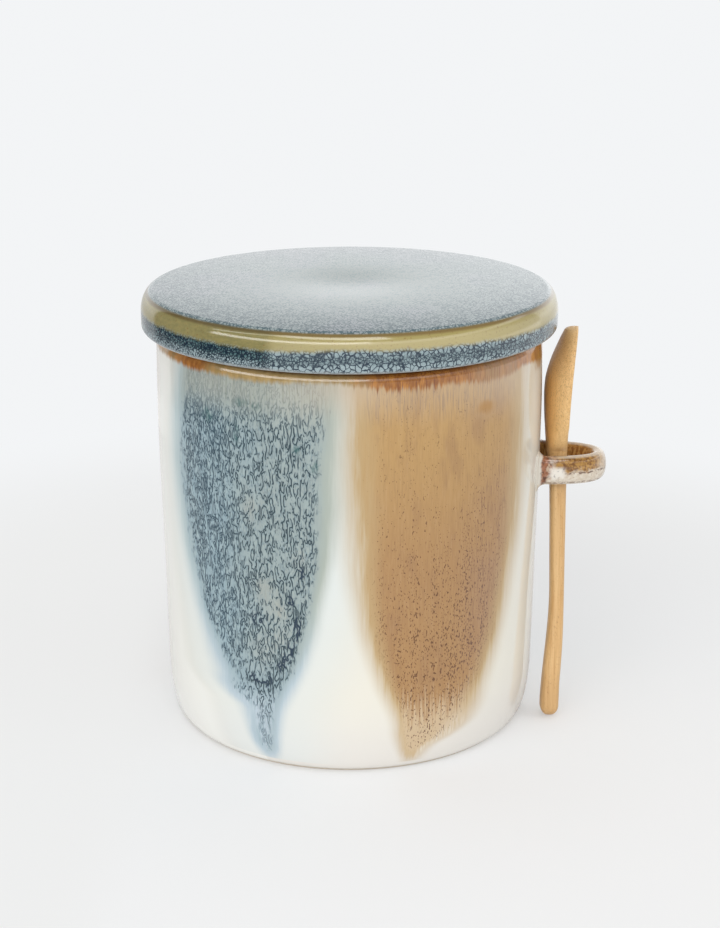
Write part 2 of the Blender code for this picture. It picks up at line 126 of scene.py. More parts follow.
class Finish:
    # a material being built: each call adds one node and gives back its output

    def __init__(self, name=None, tree=None):
        self.tree = tree
        self.color = None
        if tree is None:
            self.material = bpy.data.materials.new(name)
            self.material.use_nodes = True
            self.tree = self.material.node_tree
            self.shader = self.tree.nodes["Principled BSDF"]
            self.place = self.add("TexCoord").outputs["Object"]

    def add(self, kind, inputs=None, **settings):
        node = self.tree.nodes.new("ShaderNode" + kind)
        for key, value in settings.items():
            setattr(node, key, value)
        for key, value in (inputs or {}).items():
            self.put(node.inputs[key], value)
        return node

    def put(self, socket, value):
        if isinstance(value, bpy.types.NodeSocket):
            self.tree.links.new(value, socket)
        elif isinstance(value, tuple) and socket.type == "RGBA" and len(value) == 3:
            socket.default_value = (*value, 1)
        else:
            socket.default_value = value

    def attributes(self, names):
        return [self.add("Attribute", attribute_name=name).outputs["Fac"] for name in names.split()]

    def vector(self, operation, *values, output="Vector"):
        return self.add("VectorMath", dict(enumerate(values)), operation=operation).outputs[output]

    def stretched(self, scale, source=None):
        return self.vector("MULTIPLY", source or self.place, scale)

    def calc(self, operation, *values, clamp=False):
        return self.add("Math", dict(enumerate(values)), operation=operation, use_clamp=clamp).outputs["Value"]

    def times(self, product, *values, clamp=False):
        for value in values:
            product = self.calc("MULTIPLY", product, value, clamp=clamp)
        return product

    def timesPlus(self, value, factor, extra, clamp=False):
        return self.calc("MULTIPLY_ADD", value, factor, extra, clamp=clamp)

    def less(self, value, other):
        return self.calc("SUBTRACT", value, other)

    def ramp(self, value, low, high, toLow=0, toHigh=1):
        inputs = {"Value": value, "From Min": low, "From Max": high, "To Min": toLow, "To Max": toHigh}
        return self.add("MapRange", inputs, interpolation_type="SMOOTHSTEP").outputs["Result"]

    def near(self, value, middle, full, gone, share=1):
        # a share that is whole within one distance of the middle, and gone beyond the other
        return self.ramp(self.calc("ABSOLUTE", self.less(value, middle)), full, gone, share, 0)

    def mix(self, share, first, second, blend="MIX"):
        inputs = {0: share, 6: first, 7: second}
        return self.add("Mix", inputs, data_type="RGBA", blend_type=blend, clamp_factor=True).outputs[2]

    def paint(self, share, color):
        # lays a colour over what is there
        self.color = self.mix(share, self.color, color)

    def noise(self, vector, scale, detail=2, roughness=0.5):
        inputs = {"Vector": vector, "Scale": scale, "Detail": detail, "Roughness": roughness}
        return self.add("TexNoise", inputs).outputs["Fac"]

    def runs(self, drawn, scale, detail=2, roughness=0.5):
        # noise drawn out upwards
        return self.noise(self.stretched((1, 1, drawn)), scale, detail, roughness)

    def warped(self, vector, scale, amount):
        # a vector pushed about by coloured noise
        cloud = self.add("TexNoise", {"Vector": vector, "Scale": scale, "Detail": 1}).outputs["Color"]
        shift = self.vector("SUBTRACT", cloud, (0.5, 0.5, 0.5))
        return self.vector("ADD", vector, self.vector("MULTIPLY", shift, (amount, amount, amount)))

    def cells(self, vector, scale):
        inputs = {"Vector": vector, "Scale": scale}
        return self.add("TexVoronoi", inputs, feature="DISTANCE_TO_EDGE").outputs["Distance"]

    def brushes(self):
        return (self.calc, self.times, self.timesPlus, self.less, self.ramp, self.mix, self.paint, self.noise,
                self.runs, self.near)

    def surface(self, roughness, relief, strength, distance, **inputs):
        # the colour laid so far, its gloss and its bump
        bump = self.add("Bump", {"Strength": strength, "Distance": distance, "Height": relief}).outputs["Normal"]
        inputs.update({"Base Color": self.color, "Roughness": roughness, "Normal": bump})
        for key, value in inputs.items():
            self.put(self.shader.inputs[key], value)
        return self.material


# camera

view = Sizes(location=(0, -0.50898, 0.23856), down=17.894, turn=-0.337, lens=90.09, sensorWidth=36, clipStart=0.01)

cameraData = bpy.data.cameras.new("camera")
camera = bpy.data.objects.new("camera", cameraData)
bpy.context.scene.collection.objects.link(camera)
bpy.context.scene.camera = camera
cameraData.sensor_fit = "HORIZONTAL"
cameraData.sensor_width = view.sensorWidth
cameraData.lens = view.lens
cameraData.clip_start = view.clipStart
camera.location = view.location
camera.rotation_euler = (math.radians(90 - view.down), 0, math.radians(view.turn))
print("camera placed")


# studio: a round of pale paper, a plain bright world, and large soft boxes

studio = Sizes(
    paperRadius=0.31,
    paperRings=24,
    paperSides=96,
    toothScale=1400,
    paperColor=(0.86, 0.862, 0.865),
    toothColor=(0.85, 0.852, 0.855),
    backColor=(0.896, 0.909, 0.922),
    glowColor=(0.85, 0.855, 0.85),
    fadeFrom=0.11,
    fadeTo=0.3,
    farFrom=0.16,
    leftEdge=(-0.035, -0.075),
    shadowShare=0.62,
    leftGlow=0.8,
    ambientLow=0.58,
    ambientHigh=0.9,
    ambientColor=(0.985, 0.99, 1),
)

# what a glaze mirrors: brightness by direction, in degrees from the front towards the loop, and above the table
surroundings = Sizes(
    backdropFrom=128,
    backdropShift=3,
    backdropLow=1.34,
    backdropHigh=0.6,
    backdropRight=1.4,
    backdropUnder=0.6,
    backdropFade=(11, 30),
    backdropSides=(0, 0.28),
    backdropRise=(-8, 6),
    floorLevel=0.95,
    floorEnd=(-15.7, -15),
    leftTo=-49,
    leftLevel=0.1,
    leftSlant=0.4,
    leftPivot=18,
    frontLow=1.12,
    frontHigh=2.3,
    rightFrom=42,
    rightLow=1.35,
    rightHigh=2.5,
    riseFrom=(-12, 4),
    lowZone=(-4, 2, 22, 28),
    lowZoneShare=0.3,
    sidesFade=(30, 37),
    upperLevel=0.3,
    softness=1.2,
    glintSoftness=0.8,
    glintEnds=1,
)

# bright windows in it: from and to bearing, their lower and upper edges at both ends, and brightness
glints = (
    {"bearing": (-82, 12), "lower": (17, 29), "upper": (24, 35.5), "level": 7.5},
    {"bearing": (-87, -50), "lower": (28.5, 48), "upper": (33, 53.5), "level": 4.5},
    {"bearing": (-50, 27), "lower": (46, 44), "upper": (56, 62), "level": 6.5},
)

softBoxes = (
    {"name": "ceilingStrip", "at": (-1.05, -1.55, 1.02), "size": (3.3, 0.8), "radiance": 3.6},
    {"name": "frontFill", "at": (-0.55, -1.9, 0.4), "size": (2.6, 0.8), "radiance": 1.38, "aim": (0, 0, 0.08)},
    {"name": "rightFill", "at": (1.5, -0.5, 0.7), "size": (0.9, 0.9), "radiance": 1.8, "aim": (0, 0, 0.08)},
)


def paperFinish():
    # plain paper that takes shadows, fading outwards into the even back colour; the glow shows to the camera only
    finish = Finish("palePaper")
    ramp, mix = finish.ramp, finish.mix
    tooth = mix(finish.noise(finish.place, studio.toothScale), studio.paperColor, studio.toothColor)
    sheet = finish.add("BsdfDiffuse", {"Color": tooth})
    distance = finish.vector("LENGTH", finish.place, output="Value")
    even = mix(ramp(distance, studio.farFrom, studio.fadeTo), studio.glowColor, studio.backColor)
    glow = finish.add("Emission", {"Color": even, "Strength": 1})
    fade = ramp(distance, studio.fadeFrom, studio.fadeTo, 1 - studio.shadowShare, 1)
    aside = finish.add("SeparateXYZ", {0: finish.place}).outputs["X"]
    fade = finish.calc("MAXIMUM", fade, ramp(aside, *studio.leftEdge, 0, studio.leftGlow))
    seen = finish.add("LightPath").outputs["Is Camera Ray"]
    blend = finish.add("MixShader", {0: finish.times(fade, seen), 1: sheet.outputs[0], 2: glow.outputs[0]})
    finish.tree.nodes.remove(finish.shader)
    finish.put(finish.tree.nodes["Material Output"].inputs["Surface"], blend.outputs[0])
    return finish.material


def buildPaper():
    # a flat disc: rings of points whose radius grows as the square of the share
    ring = np.linspace(0, 1, studio.paperRings)[1:, None] ** 2 * studio.paperRadius
    turn = np.linspace(0, 2 * np.pi, studio.paperSides, endpoint=False)
    points = np.stack([ring * np.cos(turn), ring * np.sin(turn), 0 * ring * turn], axis=-1)
    paper = gridMesh("paper", points, paperFinish(), closedEnds=1)


def buildWorld():
    # a mirrored ray sees the level worked out from its bearing and rise; other light comes evenly from all round
    world = bpy.data.worlds.new("studio")
    bpy.context.scene.world = world
    world.use_nodes = True
    world.node_tree.nodes.clear()
    finish = Finish(tree=world.node_tree)
    calc, times, timesPlus, less, ramp, *_ = finish.brushes()

    def toward(share, level, other):
        # the level moved to another by a share
        return timesPlus(share, less(other, level), level)

    parts = finish.add("SeparateXYZ", {0: finish.add("TexCoord").outputs["Generated"]}).outputs
    bearing = calc("DEGREES", calc("ARCTAN2", parts["X"], times(parts["Y"], -1)))
    rise = calc("DEGREES", calc("ARCSINE", parts["Z"]))
    look = surroundings
    soft = look.softness
    lifted = ramp(rise, *look.riseFrom)
    front = timesPlus(lifted, look.frontHigh - look.frontLow, look.frontLow)
    right = timesPlus(lifted, look.rightHigh - look.rightLow, look.rightLow)
    level = toward(ramp(bearing, look.rightFrom - soft, look.rightFrom + soft), front, right)
    # a darker zone low above the table keeps the lid's top from going white when it is seen from the far sides
    intoZone = ramp(rise, *look.lowZone[:2], 1, look.lowZoneShare)
    outOfZone = ramp(rise, *look.lowZone[2:], look.lowZoneShare, 1)
    level = times(level, calc("MAXIMUM", intoZone, outOfZone))
    # the dark left side ends on a slant
    slanted = timesPlus(calc("ADD", rise, look.leftPivot), -look.leftSlant, bearing)
    level = toward(ramp(slanted, look.leftTo + soft, look.leftTo - soft), level, look.leftLevel)
    level = toward(ramp(rise, *look.sidesFade), level, look.upperLevel)
    for glint in glints:
        start, end = glint["bearing"]
        edges = []
        for name in ("lower", "upper"):
            slope = (glint[name][1] - glint[name][0]) / (end - start)
            edges.append(timesPlus(bearing, slope, glint[name][0] - slope * start))
        blur, ends = look.glintSoftness, look.glintEnds
        over, below = (ramp(inwards, -blur, blur) for inwards in (less(rise, edges[0]), less(edges[1], rise)))
        after, before = ramp(bearing, start - ends, start + ends), ramp(bearing, end + ends, end - ends)
        inside = times(over, below, after, before)
        level = toward(inside, level, glint["level"])
    backdrop = times(
        ramp(rise, *look.backdropFade, look.backdropLow, look.backdropHigh),
        ramp(parts["X"], *look.backdropSides, 1, look.backdropRight),
        ramp(rise, *look.backdropRise, look.backdropUnder, 1),
    )
    aside = calc("ABSOLUTE", calc("ADD", bearing, look.backdropShift))
    level = toward(ramp(aside, look.backdropFrom - soft, look.backdropFrom + soft), level, backdrop)
    level = toward(ramp(rise, *look.floorEnd), look.floorLevel, level)
    path = finish.add("LightPath").outputs
    ambient = timesPlus(parts["Z"], studio.ambientHigh - studio.ambientLow, studio.ambientLow)
    strength = toward(path["Is Glossy Ray"], ambient, level)
    lit = finish.add("Background", {"Color": studio.ambientColor, "Strength": strength})
    back = finish.add("Background", {"Color": studio.backColor})
    blend = finish.add("MixShader", {0: path["Is Camera Ray"], 1: lit.outputs[0], 2: back.outputs[0]})
    finish.put(finish.add("OutputWorld").inputs["Surface"], blend.outputs[0])


def buildLights():
    for box in softBoxes:
        data = bpy.data.lights.new(box["name"], "AREA")
        data.shape = "RECTANGLE"
        data.size, data.size_y = box["size"]
        # a lamp's watts are its brightness times its area times pi
        data.energy = box["radiance"] * data.size * data.size_y * math.pi
        lamp = bpy.data.objects.new(box["name"], data)
        bpy.context.scene.collection.objects.link(lamp)
        lamp.location = box["at"]
        if "aim" in box:
            x, y, z = np.array(box["aim"]) - np.array(box["at"])
            lamp.rotation_euler = (math.atan2(math.hypot(x, y), -z), 0, math.atan2(x, -y) + math.pi)
        # the glazes mirror the surroundings, not the lamps
        lamp.visible_camera = False
        lamp.visible_glossy = False


buildPaper()
buildWorld()
buildLights()
bpy.context.scene.view_settings.view_transform = "Standard"
print("studio lit")


# jar

jar = inMetres(
    radius=55, height=117.2, wall=4.6, belly=0.5, flare=0.75, flareFrom=42, flareTo=100, floor=6.3, lipInner=1.3,
    lipOuter=0.9, neck=54.1, shoulderTop=116.15, shoulderDepth=1.8, shoulderTurn=2.4, bevelHeight=0.55, tuck=3.3,
    turn=18, footBevel=0.6, footWidth=5, recess=0.9, floorFillet=7, glazeEnd=0.9, glazeStep=0.1, stepDepth=0.2,
    mouthIn=1, mouthDown=2, bareMargin=0.05,
)
jar.update(bevelSlope=23.2, footShare=0.8, columns=480, wallRows=112)
noField = -99  # stands where a field of the jar has no say
leastWidth = 0.5  # of a pour, in degrees
footFade = (-3, 5)  # how a pour's cover starts at its foot, in mm
spotFall = 0.7  # how fast a spot fades

mmPerDegree = jar.radius / mm * math.pi / 180

# a pour's edges: (height in mm, degrees from the front towards the loop)
bluePour = {
    "middle": -31,
    "left": ((2, -26.4), (7.3, -29.2), (14.7, -31.4), (18, -33.2), (20, -38), (22.6, -42.6), (28.1, -44.8),
             (38, -46.8), (50, -49.4), (62, -51.8), (74, -53.4), (86, -54), (96, -52.6), (104, -50.6), (117, -49)),
    "right": ((2, -24), (3.5, -23.4), (10.4, -22.4), (16.8, -21.8), (24.8, -19.8), (31.5, -17.2), (38, -15.4),
              (50, -13), (62, -10.6), (80, -8.9), (92, -7.6), (103, -5.6), (117, -4.6)),
    # height, then where the cover starts and is full, in mm in from the left edge, and the same from the right edge
    "fade": ((2, -3, 3, -3, 2), (11, -4, 4, -3.5, 3), (19, -6, 9, -4.5, 3), (25.7, -5, 14, -6, 2.5),
             (43.5, -7.5, 4, -7, 1), (61, -10.5, 2.5, -7, 1), (79, -12, 2, -10, 4), (99.7, -14, 0, -7.5, 5),
             (117, -12, 1, -8, 6)),
}
tanPour = {
    "middle": 27,
    "left": ((1.5, 17.8), (4, 17.5), (8, 16.6), (12, 16), (15, 16.2), (22, 14.8), (27, 13.4), (39, 10.3), (51, 7.9),
             (63, 5.9), (75, 4.7), (92, 3.2), (104, 2.6), (117, 2.6)),
    "right": ((1.5, 19.8), (4, 21), (7, 24.5), (9, 31), (11, 36), (14, 39.2), (21, 42.2), (32, 46.8), (43, 50),
              (55, 52), (66, 54), (83, 55.4), (100, 56.6), (117, 55.6)),
    "fade": ((4, -4, 3, -4, 5), (9, -5, 4, -6, 12), (15, -6, 4, -7, 14), (25.7, -8, 3, -7, 11),
             (43.5, -10, 4, -8.5, 10), (61, -11, 6.5, -10.5, 9), (79, -12, 10, -12, 11), (99.7, -13, 12, -13, 12),
             (117, -13, 12, -13, 13)),
}

# the same pours again round the unseen side: turned by this many degrees, mirrored, and set higher
bluePlaces = [{"turned": 0}, {"turned": 158, "mirrored": True, "raised": 4 * mm}]
tanPlaces = [
    {"turned": 0},
    {"turned": 157, "mirrored": True, "raised": 7 * mm},
    {"turned": -137, "mirrored": True, "raised": 3 * mm},
]

# marks of the firing: (degrees, height, half width, half height), all but the first in mm
thickFronts = (
    (-15, 45.8, 1.2, 2.2), (-15.3, 42.2, 1, 2), (-17.1, 37.8, 1.3, 2.2), (-18.6, 34.6, 1.3, 2),
    (-20.6, 31.6, 1.4, 1.7), (-23.2, 27.6, 1.7, 1.4), (-26.2, 25.7, 1.8, 1.2), (-29.4, 27.2, 1.4, 1.6),
    (-27.4, 45.2, 2.2, 2), (-17, 52, 1.1, 2), (-13.6, 60, 1, 2.6), (122, 60, 2.4, 5), (133, 41, 2, 3.4),
    (118, 88, 2.4, 3.4),
)
tealFronts = ((-43.6, 101.5, 2.2, 2.4), (-31.6, 107, 2.2, 1.4), (-26.6, 106.6, 1.6, 1.3), (-33, 98, 1, 3.4),
              (-14.5, 95.5, 1.6, 1.8), (-9.6, 91, 1.1, 2), (126, 100, 3, 2.4))
thinPlaces = (
    (-23.4, 51.2, 2.6, 3.4), (-25.9, 55.6, 2.2, 2.2), (-20.3, 48.2, 2.2, 2.6), (-25.3, 36, 3.2, 3.8),
    (-14.2, 64, 1.6, 2.4), (-20, 40.5, 1.8, 2.2), (-29, 78, 2.4, 3.6), (124, 74, 4, 5), (130, 52, 3, 4),
)
amberMarks = ((41.3, 104, 3.4, 2.1), (74, 110.5, 6, 3), (150, 108, 4, 2.4), (-150, 106, 3, 2))

# the band under the lip: (degrees, height of its lower edge in mm, how orange, how mauve, how streaked,
# how pale below it)
lipBand = (
    (-180, 112.4, 0.6, 0.2, 0.5, 0.5), (-140, 111.6, 0.8, 0.3, 0.7, 0.5), (-110, 112.8, 0.4, 0.1, 0.3, 0.2),
    (-75, 113.6, 0.45, 0, 0.2, 0.1), (-60, 113.5, 0.5, 0, 0.1, 0.1), (-49, 113.2, 0.95, 0, 0.1, 0.1),
    (-42, 113.7, 0.4, 0, 0.05, 0.2), (-25, 113.3, 0.12, 0, 0.1, 0.1), (-13, 114.1, 0.1, 0, 0.15, 0.35),
    (-5, 114.4, 0.1, 0.1, 0.2, 0.6), (3, 113.4, 0.5, 0.15, 0.5, 0.8), (13, 112.4, 1, 0, 0.9, 0.5),
    (21, 112.3, 1, 0.05, 1, 0.4), (30, 112.5, 0.85, 0.15, 0.8, 0.5), (42, 111.2, 0.45, 0.75, 0.6, 0.6),
    (52, 111.2, 0.5, 0.8, 0.35, 0.7), (60, 112.3, 0.9, 0.1, 0.15, 0.3), (67, 111.2, 1, 0, 0.1, 0.2),
    (78, 109.8, 1, 0, 0.1, 0.2), (95, 111.5, 0.7, 0.1, 0.3, 0.3), (125, 112.4, 0.5, 0.4, 0.8, 0.5),
    (155, 111.2, 0.8, 0.2, 0.6, 0.5), (180, 112.4, 0.6, 0.2, 0.5, 0.5),
)


def wallRadius(height):
    # the radius, plus a half sine of the belly between the base's turn and the mouth, plus a smooth flare above it
    share = np.clip((height - jar.turn) / (jar.height - jar.turn), 0, 1)
    flare = jar.flare * smoothStep(height, jar.flareFrom, jar.flareTo)
    return jar.radius + jar.belly * np.sin(np.pi * share) + flare


def jarProfile():
    # from the middle of the inside floor, up the inside, over the lip, down the wall and under the foot;
    # each run ends with its number of points
    inside = jar.radius - jar.wall
    fillet, top, inner, outer = jar.floorFillet, jar.height, jar.lipInner, jar.lipOuter
    # under the lip a shoulder: a sharp turn, a narrow bevel, and a wider turn into the wall
    slope, turning = math.radians(jar.bevelSlope), jar.shoulderTurn
    wallTop = wallRadius(jar.shoulderTop - jar.shoulderDepth)
    bevelOut = wallTop - turning * (1 - math.cos(slope))
    bevelIn = bevelOut - jar.bevelHeight * math.tan(slope)
    sharp = (bevelIn - jar.neck) / math.cos(slope)
    bevelTop = jar.shoulderTop - sharp * (1 - math.sin(slope))
    bevelEnd = bevelTop - jar.bevelHeight
    shoulderZ = bevelEnd - turning * math.sin(slope)
    heights = np.linspace(shoulderZ, jar.turn, jar.wallRows)[1:]
    # the glaze stops just above the foot with a small step
    base = arcPoints(jar.radius - jar.tuck, jar.turn, jar.tuck, jar.turn - jar.footBevel, 0, -90, 30)[1:]
    base[:, 0] -= jar.glazeStep * (1 - smoothStep(base[:, 1], jar.glazeEnd - jar.stepDepth, jar.glazeEnd))
    footOuter = jar.radius - jar.tuck - jar.footBevel
    footInner = footOuter - jar.footWidth
    return np.vstack([
        spread((pole, jar.floor), (inside - fillet, jar.floor), 6),
        arcPoints(inside - fillet, jar.floor + fillet, fillet, fillet, -90, 0, 9)[1:],
        spread((inside, jar.floor + fillet), (inside, top - inner), 9),
        arcPoints(inside + inner, top - inner, inner, inner, 180, 90, 6)[1:],
        arcPoints(jar.neck - outer, top - outer, outer, outer, 90, 0, 6),
        arcPoints(jar.neck, jar.shoulderTop - sharp, sharp, sharp, 90, jar.bevelSlope, 7),
        spread((bevelIn, bevelTop), (bevelOut, bevelEnd), 3),
        arcPoints(wallTop - turning, shoulderZ, turning, turning, jar.bevelSlope, 0, 7)[1:],
        np.stack([wallRadius(heights), heights], axis=-1),
        base,
        arcPoints(footOuter, jar.footBevel, jar.footBevel - jar.glazeStep, jar.footBevel, 0, -90, 5)[1:],
        spread((footOuter, 0), (footInner + jar.footBevel, 0), 2),
        spread((footInner + jar.footBevel, 0), (footInner, jar.recess), 2),
        spread((footInner, jar.recess), (pole, jar.recess), 5),
    ])


def edgeAt(pour, name, height):
    # the pour's edge, in degrees, at each height: a smooth curve through its table
    table = np.array(pour[name], float)
    return easedTable(table[:, 0], table[:, 1], np.clip(height / mm, table[0, 0], table[-1, 0]))


def pourField(pour, places, turn, height):
    # millimetres inside the nearest pour (the lesser of the ways to its edges), the share of the way across it,
    # and its cover: a smooth step in from each edge, over the widths of the fade table
    shape = np.broadcast(turn, height).shape
    depth, across, cover = np.full(shape, noField), np.zeros(shape), np.zeros(shape)
    fade = np.array(pour["fade"], float)
    foot = pour["left"][0][0]
    for place in places:
        raised = place.get("raised", 0)
        at = (turn - place["turned"] - pour["middle"] + 180) % 360 - 180
        at = (-at if place.get("mirrored") else at) + pour["middle"]
        level = (height - raised) * jar.height / (jar.height - raised)
        left, right = edgeAt(pour, "left", level), edgeAt(pour, "right", level)
        fromLeft, fromRight = (at - left) * mmPerDegree, (right - at) * mmPerDegree
        inside = np.minimum(fromLeft, fromRight) - np.maximum(foot - level / mm, 0)
        across = np.where(inside > depth, np.clip((at - left) / np.maximum(right - left, leastWidth), 0, 1), across)
        depth = np.maximum(depth, inside)
        widths = [np.interp(level / mm, fade[:, 0], fade[:, column]) for column in range(1, 5)]
        share = smoothStep(fromLeft, widths[0], widths[1]) * smoothStep(fromRight, widths[2], widths[3])
        cover = np.maximum(cover, share * smoothStep(level / mm - foot, *footFade))
    return depth, across, cover


def spotField(spots, turn, height):
    # the sum of soft round spots, each a bell curve of its two distances
    field = np.zeros(np.broadcast(turn, height).shape)
    for degrees, level, halfWidth, halfHeight in spots:
        aside = ((turn - degrees + 180) % 360 - 180) * mmPerDegree / halfWidth
        field += np.exp(-spotFall * (aside**2 + ((height / mm - level) / halfHeight) ** 2))
    return field


def buildJar():
    profile = jarProfile()
    points, turn = turnedSurface(profile, jar.columns)
    height = points[..., 2]
    degrees = np.degrees(turn)[None, :]
    radius = np.broadcast_to(profile[:, :1], height.shape)
    # the pours and the band go over the lip and a little way into the mouth
    outside = (radius > jar.neck - jar.mouthIn) | (height > jar.height - jar.mouthDown)
    blue, blueAcross, blueCover = pourField(bluePour, bluePlaces, degrees, height)
    _, tanAcross, tanCover = pourField(tanPour, tanPlaces, degrees, height)
    band = np.array(lipBand, float).T
    bandEdge, orange, mauve, streaked, beige = (np.interp(degrees[0], band[0], column) for column in band[1:])
    piece = gridMesh("jarSkin", points, jarGlaze(), attributes={
        "blue": np.where(outside, blue, noField),
        "blueCover": np.where(outside, blueCover, 0),
        "blueAcross": blueAcross,
        "tanCover": np.where(outside, tanCover, 0),
        "tanAcross": tanAcross,
        "thick": spotField(thickFronts, degrees, height),
        "teal": spotField(tealFronts, degrees, height),
        "thin": spotField(thinPlaces, degrees, height),
        "amber": spotField(amberMarks, degrees, height),
        "aboveBand": np.where(outside, height / mm - bandEdge, noField),
        "orange": orange,
        "mauve": mauve,
        "streaked": streaked,
        "beige": beige,
        "bare": (radius > jar.radius * jar.footShare) & (height < jar.glazeEnd - jar.bareMargin),
    })
    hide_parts("jar_body")
    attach(piece, "jar")


def jarGlaze():
    finish = Finish("pouredGlaze")
    place, stretched = finish.place, finish.stretched
    calc, times, timesPlus, less, ramp, mix, paint, noise, runs, _ = finish.brushes()
    (blue, blueCover, blueAcross, tanCover, tanAcross, thick, teal, thin, amber, aboveBand, orange, mauve, streaked,
     beige, bare) = finish.attributes("blue blueCover blueAcross tanCover tanAcross thick teal thin amber aboveBand "
                                      "orange mauve streaked beige bare")
    height = times(finish.add("SeparateXYZ", {0: place}).outputs["Z"], 1 / mm)

    # ivory ground in broad warm and cool clouds, cooler beside the blue pour
    cloud = runs(0.5, 30, 2)
    finish.color = mix(cloud, (0.7, 0.665, 0.58), (0.76, 0.742, 0.66))
    paint(ramp(height, 26, 4, 0, 0.8), (0.695, 0.67, 0.635))
    paint(times(ramp(blue, -24, -4), ramp(height, 15, 60, 0.5, 0.75)), (0.655, 0.71, 0.705))

    farLeft = times(ramp(blue, -10, -19), ramp(blueAcross, 0.1, 0))
    paint(times(farLeft, 0.65), (0.8, 0.805, 0.765))

    # upright strokes that feather a soft edge, and edges that wander
    strokes = runs(0.055, 1700, 2, 0.6)
    tongues = less(runs(0.1, 330, 3, 0.62), 0.5)

    def feathered(share, amount):
        # strokes and tongues count most where the share is half way
        halfWay = less(1, calc("ABSOLUTE", timesPlus(share, 2, -1)))
        shift = timesPlus(less(strokes, 0.5), amount, times(tongues, 0.45))
        return timesPlus(halfWay, shift, share, clamp=True)

    # tan pour: a warm halo, a body that browns downwards, fine grain, and brown flecks that thicken below
    tanShare = feathered(tanCover, 0.3)
    paint(times(tanShare, 1.85, clamp=True), (0.475, 0.335, 0.166))
    clay = mix(ramp(height, 55, 104), (0.38, 0.213, 0.086), (0.462, 0.28, 0.105))
    rightTan = ramp(tanAcross, 0.45, 0.85)
    clay = mix(times(rightTan, ramp(noise(place, 42, 1), 0.4, 0.65, 0.1, 0.6)), clay, (0.35, 0.208, 0.118))
    clay = mix(ramp(runs(0.4, 150, 3, 0.6), 0.5, 0.7, 0, 0.35), clay, (0.275, 0.145, 0.072))
    threads = runs(0.07, 2400, 3, 0.65)
    clay = mix(ramp(threads, 0.5, 0.7, 0, 0.18), clay, (0.56, 0.38, 0.2))
    clay = mix(ramp(threads, 0.28, 0.5, 0.26, 0), clay, (0.22, 0.12, 0.065))
    rillet = times(ramp(threads, 0.44, 0.34), rightTan, ramp(height, 30, 44), ramp(height, 98, 80))
    clay = mix(times(rillet, 0.45), clay, (0.165, 0.088, 0.062))
    paint(ramp(tanShare, 0.42, 0.98), clay)
    comb = times(ramp(timesPlus(strokes, 26, height), 38, 26), ramp(tanShare, 0.2, 0.7))
    paint(times(comb, 0.8), (0.6, 0.47, 0.31))
    paling = times(ramp(height, 19, 8), rightTan, ramp(strokes, 0.35, 0.65, 0.3, 0.85))
    paint(times(paling, ramp(tanShare, 0.1, 0.5)), (0.69, 0.64, 0.545))
    grains = finish.warped(stretched((1, 1, 0.5)), 900, 0.0005)
    spot = noise(grains, 2450, 1, 0.5)
    rows = runs(0.05, 420, 2, 0.6)
    sinking = timesPlus(rows, -0.34, ramp(height, 34, 88, 0.765, 0.865))
    fleck = times(ramp(less(spot, sinking), 0, 0.035), ramp(tanShare, 0.45, 0.95))
    paint(times(fleck, ramp(height, 62, 98, 0.85, 0.55)), mix(rightTan, (0.09, 0.03, 0.012), (0.12, 0.058, 0.042)))

    # blue pour: a pale haze that thickens to a grey-green body
    blueShare = feathered(blueCover, 0.3)
    upper = ramp(height, 26, 62)
    rightward = ramp(blueAcross, 0.35, 0.75)
    hazeColor = mix(times(upper, rightward), mix(upper, (0.43, 0.515, 0.56), (0.44, 0.525, 0.53)),
                    (0.375, 0.415, 0.362))
    haze = times(times(blueShare, 2, clamp=True), timesPlus(tanShare, -0.8, 1))
    paint(haze, hazeColor)
    drift = runs(0.35, 140, 2)
    body = mix(ramp(timesPlus(drift, 0.5, blueAcross), 0.45, 1), (0.285, 0.385, 0.425), (0.3, 0.355, 0.345))
    body = mix(times(thin, 0.6, clamp=True), body, (0.365, 0.368, 0.318))
    veins = runs(0.2, 600, 3, 0.6)
    body = mix(ramp(veins, 0.38, 0.62, 0, 0.35), body, (0.365, 0.445, 0.44))
    body = mix(ramp(height, 40, 22, 0, 0.6), body, (0.3, 0.4, 0.45))
    body = mix(ramp(height, 96, 110, 0, 0.65), body, (0.405, 0.425, 0.365))
    paint(ramp(blueShare, 0.4, 0.92), body)
    # below the fronts a pale streaked veil runs on to the tip
    trail = times(ramp(height, 27, 18), ramp(blue, -1, 3))
    paint(times(trail, ramp(strokes, 0.34, 0.6, 0.15, 0.75)), (0.48, 0.555, 0.61))

    # dark squiggles follow the lines where a run-down noise crosses its middle: a place's distance from such a line
    # is the noise's distance from its middle over its steepness, which two small steps aside give
    stride = 0.00012
    sideways = finish.vector("CROSS_PRODUCT", (0, 0, 1), place)
    sideways = finish.vector("NORMALIZE", sideways)
    beside = finish.vector("MULTIPLY_ADD", sideways, (stride, stride, stride), place)
    above = finish.vector("ADD", place, (0, 0, stride))

    def lineWay(drawn, scale, push, halfWidth):
        # the distance from the nearest line, in half widths
        here, aside, upwards = (noise(finish.warped(stretched((1, 1, drawn), where), 420, push), scale, 1, 0.45)
                                for where in (place, beside, above))
        acrossStep, upStep = less(aside, here), less(upwards, here)
        steep = calc("SQRT", timesPlus(upStep, upStep, times(acrossStep, acrossStep)))
        return calc("DIVIDE", calc("ABSOLUTE", less(here, 0.5)), times(steep, halfWidth / stride))

